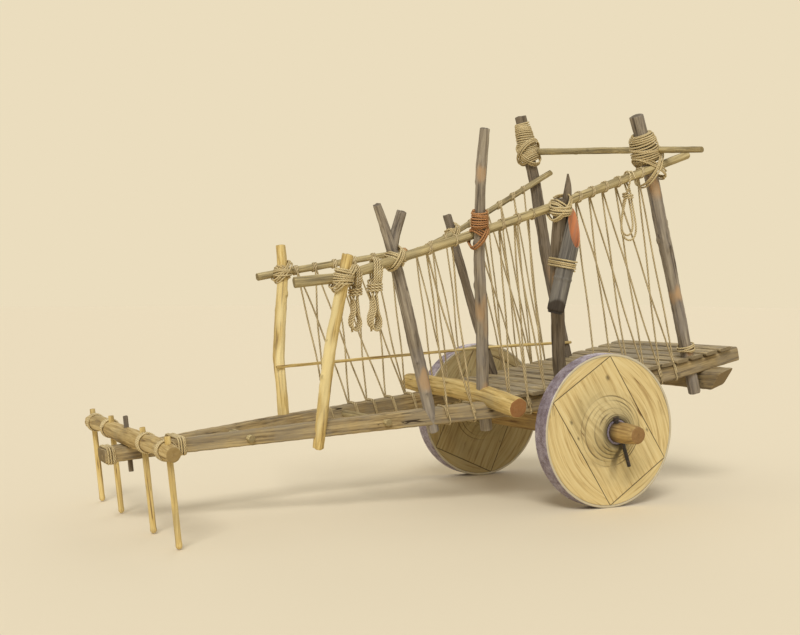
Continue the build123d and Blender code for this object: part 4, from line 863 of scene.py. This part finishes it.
pins = [timber(on_yoke(y, pin), 650 + 7 * k, (1, 0, 0), arris=0.001, ease=0.6, step=0.006, **stick)
        for k, y in enumerate((-0.780, -0.330, 0.330, 0.780))]
shell("yoke_pins", pins, straw_branch, "yoke", "pole_wood")
peg = timber(on_yoke(0, [(-0.189, 0.0137), (0.109, 0.0137)]), 680, (1, 0, 0), arris=0.003, step=0.01, **stick)
shell("yoke_peg", [peg], umber_branch, "cart", "pole_wood")


# Lashings: coir rope, wetted, wound tight and left to shrink. Round turns build up a barrel on the
# post, and turns that cross it diagonally grip the rail.
def taut_loop(centre, normal, poles, off, start=None, count=60):
    """A rope pulled tight round several poles, in the plane through centre square to normal: each pole
    (point, direction, radius) cuts the plane in an ellipse, and the loop is the hull of them all, off
    clear of them, read from their farthest points in each direction."""
    normal = unit(normal)
    first = unit(np.cross(normal, (0.31, 0.52, 0.79)))
    second = np.cross(normal, first)
    turn = np.linspace(0, 2 * np.pi, 96, endpoint=False)
    out = turned_out(turn, first, second)
    spots = []
    for point, direction, radius in poles:
        direction = unit(direction)
        middle = point + direction * (((centre - point) @ normal) / (direction @ normal))
        spots.append(middle + out * ((radius + off) / np.sqrt(1 - (out @ direction) ** 2))[:, None])
    spots = np.concatenate(spots) - centre
    flat = np.stack([spots @ first, spots @ second], 1)
    hull = flat[(flat @ np.stack([np.cos(turn), np.sin(turn)])).argmax(0)]
    hull = spaced(np.vstack([hull, hull[:1]]), run_along(hull)[-1] / count)[:-1]
    loop = centre + hull[:, :1] * first + hull[:, 1:] * second
    if start is not None:
        loop = np.roll(loop, -np.linalg.norm(loop - start, axis=1).argmin(), axis=0)
    return loop


def turns_of(loop, normal, count, thick, seed):
    """Several turns side by side: the loop repeated while it is carried along the normal by one
    thickness each turn, a little uneven."""
    each = np.arange(int(count * len(loop)) + 1)
    normal = unit(normal)
    rng = np.random.default_rng(seed)
    part = each / len(loop)
    off = thick * (part - count / 2) + 0.16 * thick * np.sin(2 * np.pi * part * 0.37 + rng.uniform(0, 6))
    middle = loop.mean(0)
    wide = 1 + 0.03 * np.sin(2 * np.pi * part * 0.71 + rng.uniform(0, 6))
    return middle + (loop[each % len(loop)] - middle) * wide[:, None] + off[:, None] * normal


def clear_of(points, rows, gap):
    """Points pushed straight out of a pole's axis until they are gap clear of its surface."""
    rows = np.asarray(rows, float)
    for a, b in zip(rows, rows[1:]):
        run = b[:3] - a[:3]
        share = np.clip((points - a[:3]) @ run / (run @ run), 0, 1)
        away = points - a[:3] - share[:, None] * run
        far = np.linalg.norm(away, axis=1)
        push = np.clip(a[3] + share * (b[3] - a[3]) + gap - far, 0, None)
        points = points + away / far[:, None] * push[:, None]
    return points


def barrel(low, high, inner, outer, thick, seed, lean, through=()):
    """Round turns from low to high about a post: the helix starts on the post, swells to the barrel's
    radius as (1 - |2s - 1|^4)^0.5 and closes on the post again. Its turns lean and wander, and step
    over the poles that pass through."""
    low, high = np.asarray(low, float), np.asarray(high, float)
    length = np.linalg.norm(high - low)
    axis = (high - low) / length
    first = unit(np.cross(axis, (0.2, 1.0, 0.1)))
    second = np.cross(axis, first)
    count = max(2.0, (length - thick) / thick)
    share = np.linspace(0, 1, int(count * 44))  # 44 points in each turn
    radii = np.interp(share, (0, 1), outer) if np.ndim(outer) else outer
    full = np.sqrt(1 - np.abs(2 * share - 1) ** 4)
    radius = inner + thick / 2 + (radii - thick / 2 - inner - thick / 2) * full
    turn = 2 * np.pi * count * share + seed
    slope = lean * thick * np.sin(turn + 2.2 * np.sin(5 * share + seed)) * (1 + np.sin(9 * share + seed))
    radius = radius + 0.10 * thick * np.sin(0.63 * turn + seed)
    along = thick / 2 + (length - thick) * share + slope * full
    points = low + along[:, None] * axis + radius[:, None] * turned_out(turn, first, second)
    for _ in range(2):
        for rows in through:
            points = clear_of(points, rows, thick / 2)
    return points


def nearest_on(rows, spot):
    """Place, direction and radius of a pole where it passes closest to a spot."""
    line = spaced(rows, 0.004)
    k = np.clip(np.linalg.norm(line[:, :3] - spot, axis=1).argmin(), 1, len(line) - 2)
    return line[k, :3], line[k + 1, :3] - line[k - 1, :3], line[k, 3]


LASH = 0.012
EDGE, EDGE_OUT = 0.012, 0.0125  # how far in a squared timber's rounded edges are centred, their radius
rope_skins = []


def wind(path, beside, stain=0.0):
    """Adds one rope, laid along a path that is read at even steps and eased, to the lashings."""
    rings, mark = laid_rope(eased(spaced(path, 0.0072), 1.0), LASH, beside, around=9)
    rope_skins.append((rings, {**mark, "bare": stain}))


# Post, rail that crosses it, lowest and highest point of the barrel, and its radius there. The two
# big ones, on the rear posts, are wound in two layers and lean more.
lashing_rows = [
    ("post_left_front", left_rail, (0.7976, 0.5141, 1.2923), (0.7837, 0.5231, 1.3854), (0.060, 0.060)),
    ("post_left_forked", left_rail, (0.4303, 0.4370, 1.3993), (0.4486, 0.4396, 1.4606), (0.058, 0.058)),
    ("post_left_tall", left_rail, (0.0077, 0.6363, 1.6131), (0.0208, 0.6620, 1.7204), (0.054, 0.050)),
    ("post_left_middle", left_rail, (-0.5447, 0.6242, 1.7056), (-0.5372, 0.6439, 1.7769), (0.070, 0.070)),
    ("post_left_rear", left_rail, (-1.2482, 0.5374, 2.0505), (-1.1788, 0.5523, 2.2276), (0.098, 0.084)),
    ("post_left_rear", None, (-1.5988, 0.4897, 0.8770), (-1.5840, 0.4907, 0.9311), (0.060, 0.058)),
    ("post_right_front", right_front_rail, (0.7942, -0.3676, 1.3397), (0.7913, -0.3756, 1.4081), (0.060, 0.058)),
    ("post_right_middle", right_rear_rail, (-0.4943, -0.5527, 1.6194), (-0.4780, -0.5577, 1.6793), (0.052, 0.052)),
    ("post_right_rear", rear_bar, (-1.1383, -0.6054, 2.1447), (-1.0735, -0.6183, 2.4224), (0.082, 0.056))]
for seed, (post, rail, low, high, outer) in enumerate(lashing_rows):
    stem = stems[post]
    spot, run, thick_post = nearest_on(stem, (np.array(low) + high) / 2)
    big, stain = outer[0] > 0.075, float(post == "post_left_tall")
    through = [rail] if rail is not None else []
    if big:
        through = [left_rail if "left" in post else right_rear_rail, rear_bar]
    layers = [(np.subtract(outer, 0.021), 2.0)] * big + [(outer, 0.9 * seed)]
    for radii, phase in layers:
        path = barrel(low, high, thick_post, radii, LASH, phase, 0.75 if big else 0.35, through)
        wind(path, beside=run, stain=stain)
    if rail is None:
        continue
    # Turns that cross diagonally, first one way and then the other on top of them.
    at_rail, rail_run, rail_radius = nearest_on(rail, spot)
    spot, run, thick_post = nearest_on(stem, at_rail)
    up, along_rail = unit(run), unit(rail_run)
    for layer, sign in enumerate((1, -1)):
        normal = up + sign * along_rail
        poles = [(spot, run, (outer[0] - 0.018 if big else thick_post)), (at_rail, rail_run, rail_radius)]
        loop = taut_loop((spot + at_rail) / 2, normal, poles, LASH * (0.5 + 0.9 * layer))
        wind(turns_of(loop, normal, 3, LASH * 1.05, seed + layer), beside=normal, stain=stain)

# The lap of the two right rails, the tube's tie and the bands round the two noses.
lap = np.array((-0.0855, -0.4986, 1.4982))
poles = [nearest_on(right_front_rail, lap), nearest_on(right_rear_rail, lap)]
loop = taut_loop(lap, poles[0][1], poles, LASH / 2)
wind(turns_of(loop, poles[0][1], 5, LASH, 41), beside=poles[0][1], stain=0.7)
post = nearest_on(stems["post_left_middle"], TUBE_TIE)
loop = taut_loop(TUBE_TIE, tube_run, [(TUBE_TIE, tube_run, TUBE_OUT), post], LASH / 2)
wind(turns_of(loop, tube_run, 4, LASH * 1.05, 42), beside=tube_run)
for x, z, half_wide, half_deep in ((1.5674, 0.4202, 0.1128, 0.0408), (1.9435, 0.3853, 0.0773, 0.0374)):
    centre = np.array((x, 0, z))
    lead = np.array((0.9955, 0, -0.0945))
    corners = [(centre + (0, a * (half_wide - EDGE), b * (half_deep - EDGE)), lead, EDGE_OUT)
               for a in (-1, 1) for b in (-1, 1)]
    loop = taut_loop(centre, lead, corners, LASH / 2)
    wind(turns_of(loop, lead, 4, LASH, 44), beside=lead)
shell("rope_lashings", rope_skins, rope_straw, "cart", "rope")

# Windings beside the yoke's pins keep them from splitting the bar.
WIND = 0.0095
windings = []
for k, y in enumerate((-0.727, -0.383, 0.383, 0.727)):
    lift, bar = (np.interp(abs(y), *zip(*[(row[0], row[c]) for row in half_bar])) for c in (1, 2))
    ends = [YOKE + (0, y + side * 0.031, 0) + lift * YOKE_UP for side in (-1, 1)]
    path = barrel(ends[0], ends[1], bar - 0.001, bar + 0.0105, WIND, 1.7 * k, 0.3)
    windings.append(laid_rope(eased(spaced(path, 0.005), 1.0), WIND, (0, 1, 0), around=9))
shell("yoke_windings", windings, rope_straw, "yoke", "rope")


# Side lacing: coir rope, softly laid, so that its strands stand out as long slanting dashes, with
# painted shade in the grooves between them. It is laced up and down each side and pulled tight by
# hand: each run is hooked over the rail, comes down on its inner side and goes round the beam between
# two slats.
LACE = 0.012
# Older rope than the lashings: less bleached, with nearly black painted shade in the grooves.
rope_brown = coir("coir_lacing", "#E6D8B0", "#BFA97C", "#4A3A26", "#E2B8A4")
# Where the runs go round the beams, from the tail forward: x, in millimetres.
stops = (
    -1807.2, -1693.8, -1580.4, -1466.6, -1352.1, -1237.6, -1123.1, -1008.6, -894.1, -779.6, -663.9, -547.4,
    -430.9, -314.3, -82.9, 71.0, 214.7, 348.2, 522.7)
# Where the knots are on each rail, x in millimetres, each with the stops of its runs.
left_knots = (
    (-1150.1, 3, 4), (-980.5, 3, 5), (-886.2, 4, 6), (-792.0, 5, 7), (-697.8, 6, 8), (-375.8, 11),
    (-275.8, 11, 12), (-171.1, 12, 13), (-71.1, 13), (119.1, 14), (271.2, 14, 15))
right_rear_knots = (
    (-1032.4, 5), (-943.5, 5, 6), (-836.8, 6, 7), (-730.1, 6, 8), (-605.6, 7, 8), (-407.5, 11),
    (-297.3, 11, 12), (-177.9, 12, 13))
right_front_knots = (
    (17.4, 13, 14), (137.6, 14, 15), (277.7, 14, 16), (417.9, 15, 17), (558.0, 16, 18), (688.2, 17, 18))


def hook(x, y, z, radius, sign, slant, drift):
    """The rope over a rail at x, y, z: from under it up its outer side, over the top and down the inner
    side, and drifting along it."""
    turn = np.radians(np.linspace(-250, 180, 40))
    off = radius + LACE / 2
    return np.stack([x + drift, y + sign * off * np.cos(turn), z + off * np.sin(turn) + slant * drift], 1)


def beam_turn(stop, sign, shift, way):
    """The rope round a beam's four rounded edges, in the gap between two slats. It starts on the outer
    side near the top, goes down first, and moves along by the rope's lie as it goes round."""
    _, y, z, width, depth = (np.interp(stop, beam_rows[:, 0], column) for column in beam_rows.T)
    centre = np.array((stop, sign * y, z))
    corners = [(centre + (0, a * (width / 2 - EDGE), 0) + b * (depth / 2 - EDGE) * UPRIGHT, LEVEL, EDGE_OUT)
               for a in (-1, 1) for b in (-1, 1)]
    landing = centre + (0, sign * (width / 2 + LACE / 2), 0) + (depth / 2 - 0.014) * UPRIGHT
    loop = taut_loop(centre, LEVEL, corners, LACE / 2, landing, 50)
    if (loop[1] - loop[0]) @ UPRIGHT > 0:
        loop = np.roll(loop[::-1], 1, 0)
    part = np.arange(56)
    return loop[part % 50] + ((0.009 * part / 50 - 0.0045) * way + shift * 0.5)[:, None] * LEVEL


def lacing_run(x, stop, k, count, rail, sign):
    """One run, from its hook down to its turn round the beam. Between them it bends a little."""
    rng = np.random.default_rng(int(1000 * abs(x)) + k)
    shift = 0.0055 * (2 * k - count + 1)
    drift = shift + 0.010 * np.linspace(-0.5, 0.5, 40) * (1 - 2 * k)
    slant = (rail[-1, 2] - rail[0, 2]) / (rail[-1, 0] - rail[0, 0])
    place = [np.interp(x, rail[:, 0], rail[:, c]) for c in (1, 2, 3)]
    top = hook(x, *place, sign, slant, drift)
    foot = beam_turn(stop, sign, shift, 1 if k else -1)
    share = np.linspace(0, 1, 60)[1:-1, None]
    run = top[-1] * (1 - share) + foot[0] * share
    bow = np.sin(np.pi * share)
    run[:, :1] += bow * rng.uniform(-0.012, 0.012) + 0.004 * np.sin(3 * np.pi * share + rng.uniform(0, 6)) * bow
    run[:, 1:2] += 0.6 * bow * rng.uniform(-0.012, 0.004) * sign
    path = eased(spaced(np.concatenate([top, run, foot]), 0.0075), 1.3)
    return laid_rope(path, LACE, (1, 0.05, 0.05), around=9, lay=5.2)


for side, sign, laced in (
        ("left", 1, ((left_rail, left_knots),)),
        ("right", -1, ((right_rear_rail, right_rear_knots), (right_front_rail, right_front_knots)))):
    skins = [lacing_run(x / 1000, stops[foot] / 1000, k, len(feet), rail[rail[:, 0].argsort()], sign)
             for rail, places in laced for x, *feet in places for k, foot in enumerate(feet)]
    shell(f"side_lacing_{side}", skins, rope_brown, "cart", "rope")


# Floor, light and background: a pale plain floor under an even pale sky, a broad soft lamp as far away
# as the sun, high on the camera's left, and a weak one from behind.
ground = bpy.data.meshes.new("ground")
ground.from_pydata([(-60, -90, 0), (60, -90, 0), (60, 60, 0), (-60, 60, 0)], [], [(0, 1, 2, 3)])
floor = bpy.data.objects.new("ground", ground)
bpy.context.scene.collection.objects.link(floor)
# Limewashed ground: pale and quite dull.
limewash, tree, shader = begin("pale_ground")
feed(shader, {"Base Color": "#E9DCC0", "Roughness": 0.95, "Specular IOR Level": 0.1})
ground.materials.append(limewash)
floor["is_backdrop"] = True

world = bpy.data.worlds.new("studio")
bpy.context.scene.world = world
world.use_nodes = True
tree = world.node_tree
even = tree.nodes["Background"]
feed(even, {"Color": "#F4F0E8", "Strength": 0.60})
seen = add(tree, "Background", Color="#EBDDBE", Strength=1.0)
rays = [add(tree, "LightPath", out=f"Is {kind} Ray") for kind in ("Camera", "Glossy", "Transmission")]
direct = add(tree, "Math", rays[0], rays[1], operation="MAXIMUM")
direct = add(tree, "Math", direct, rays[2], operation="MAXIMUM")
feed(tree.nodes["World Output"], {0: add(tree, "MixShader", direct, even.outputs[0], seen)})
for name, place, spread, power in (("key", (3.4, 5.0, 5.6), 22.0, 1.75), ("back", (-4.0, -5.0, 3.5), 40.0, 0.55)):
    lamp = bpy.data.lights.new(name, "SUN")
    lamp.angle, lamp.energy = np.radians(spread), power
    made = bpy.data.objects.new(name, lamp)
    made.location = place
    made.rotation_euler = (-Vector(place)).to_track_quat("-Z", "Y").to_euler()
    bpy.context.scene.collection.objects.link(made)
bpy.context.scene.view_settings.view_transform = "Standard"

low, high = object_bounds()
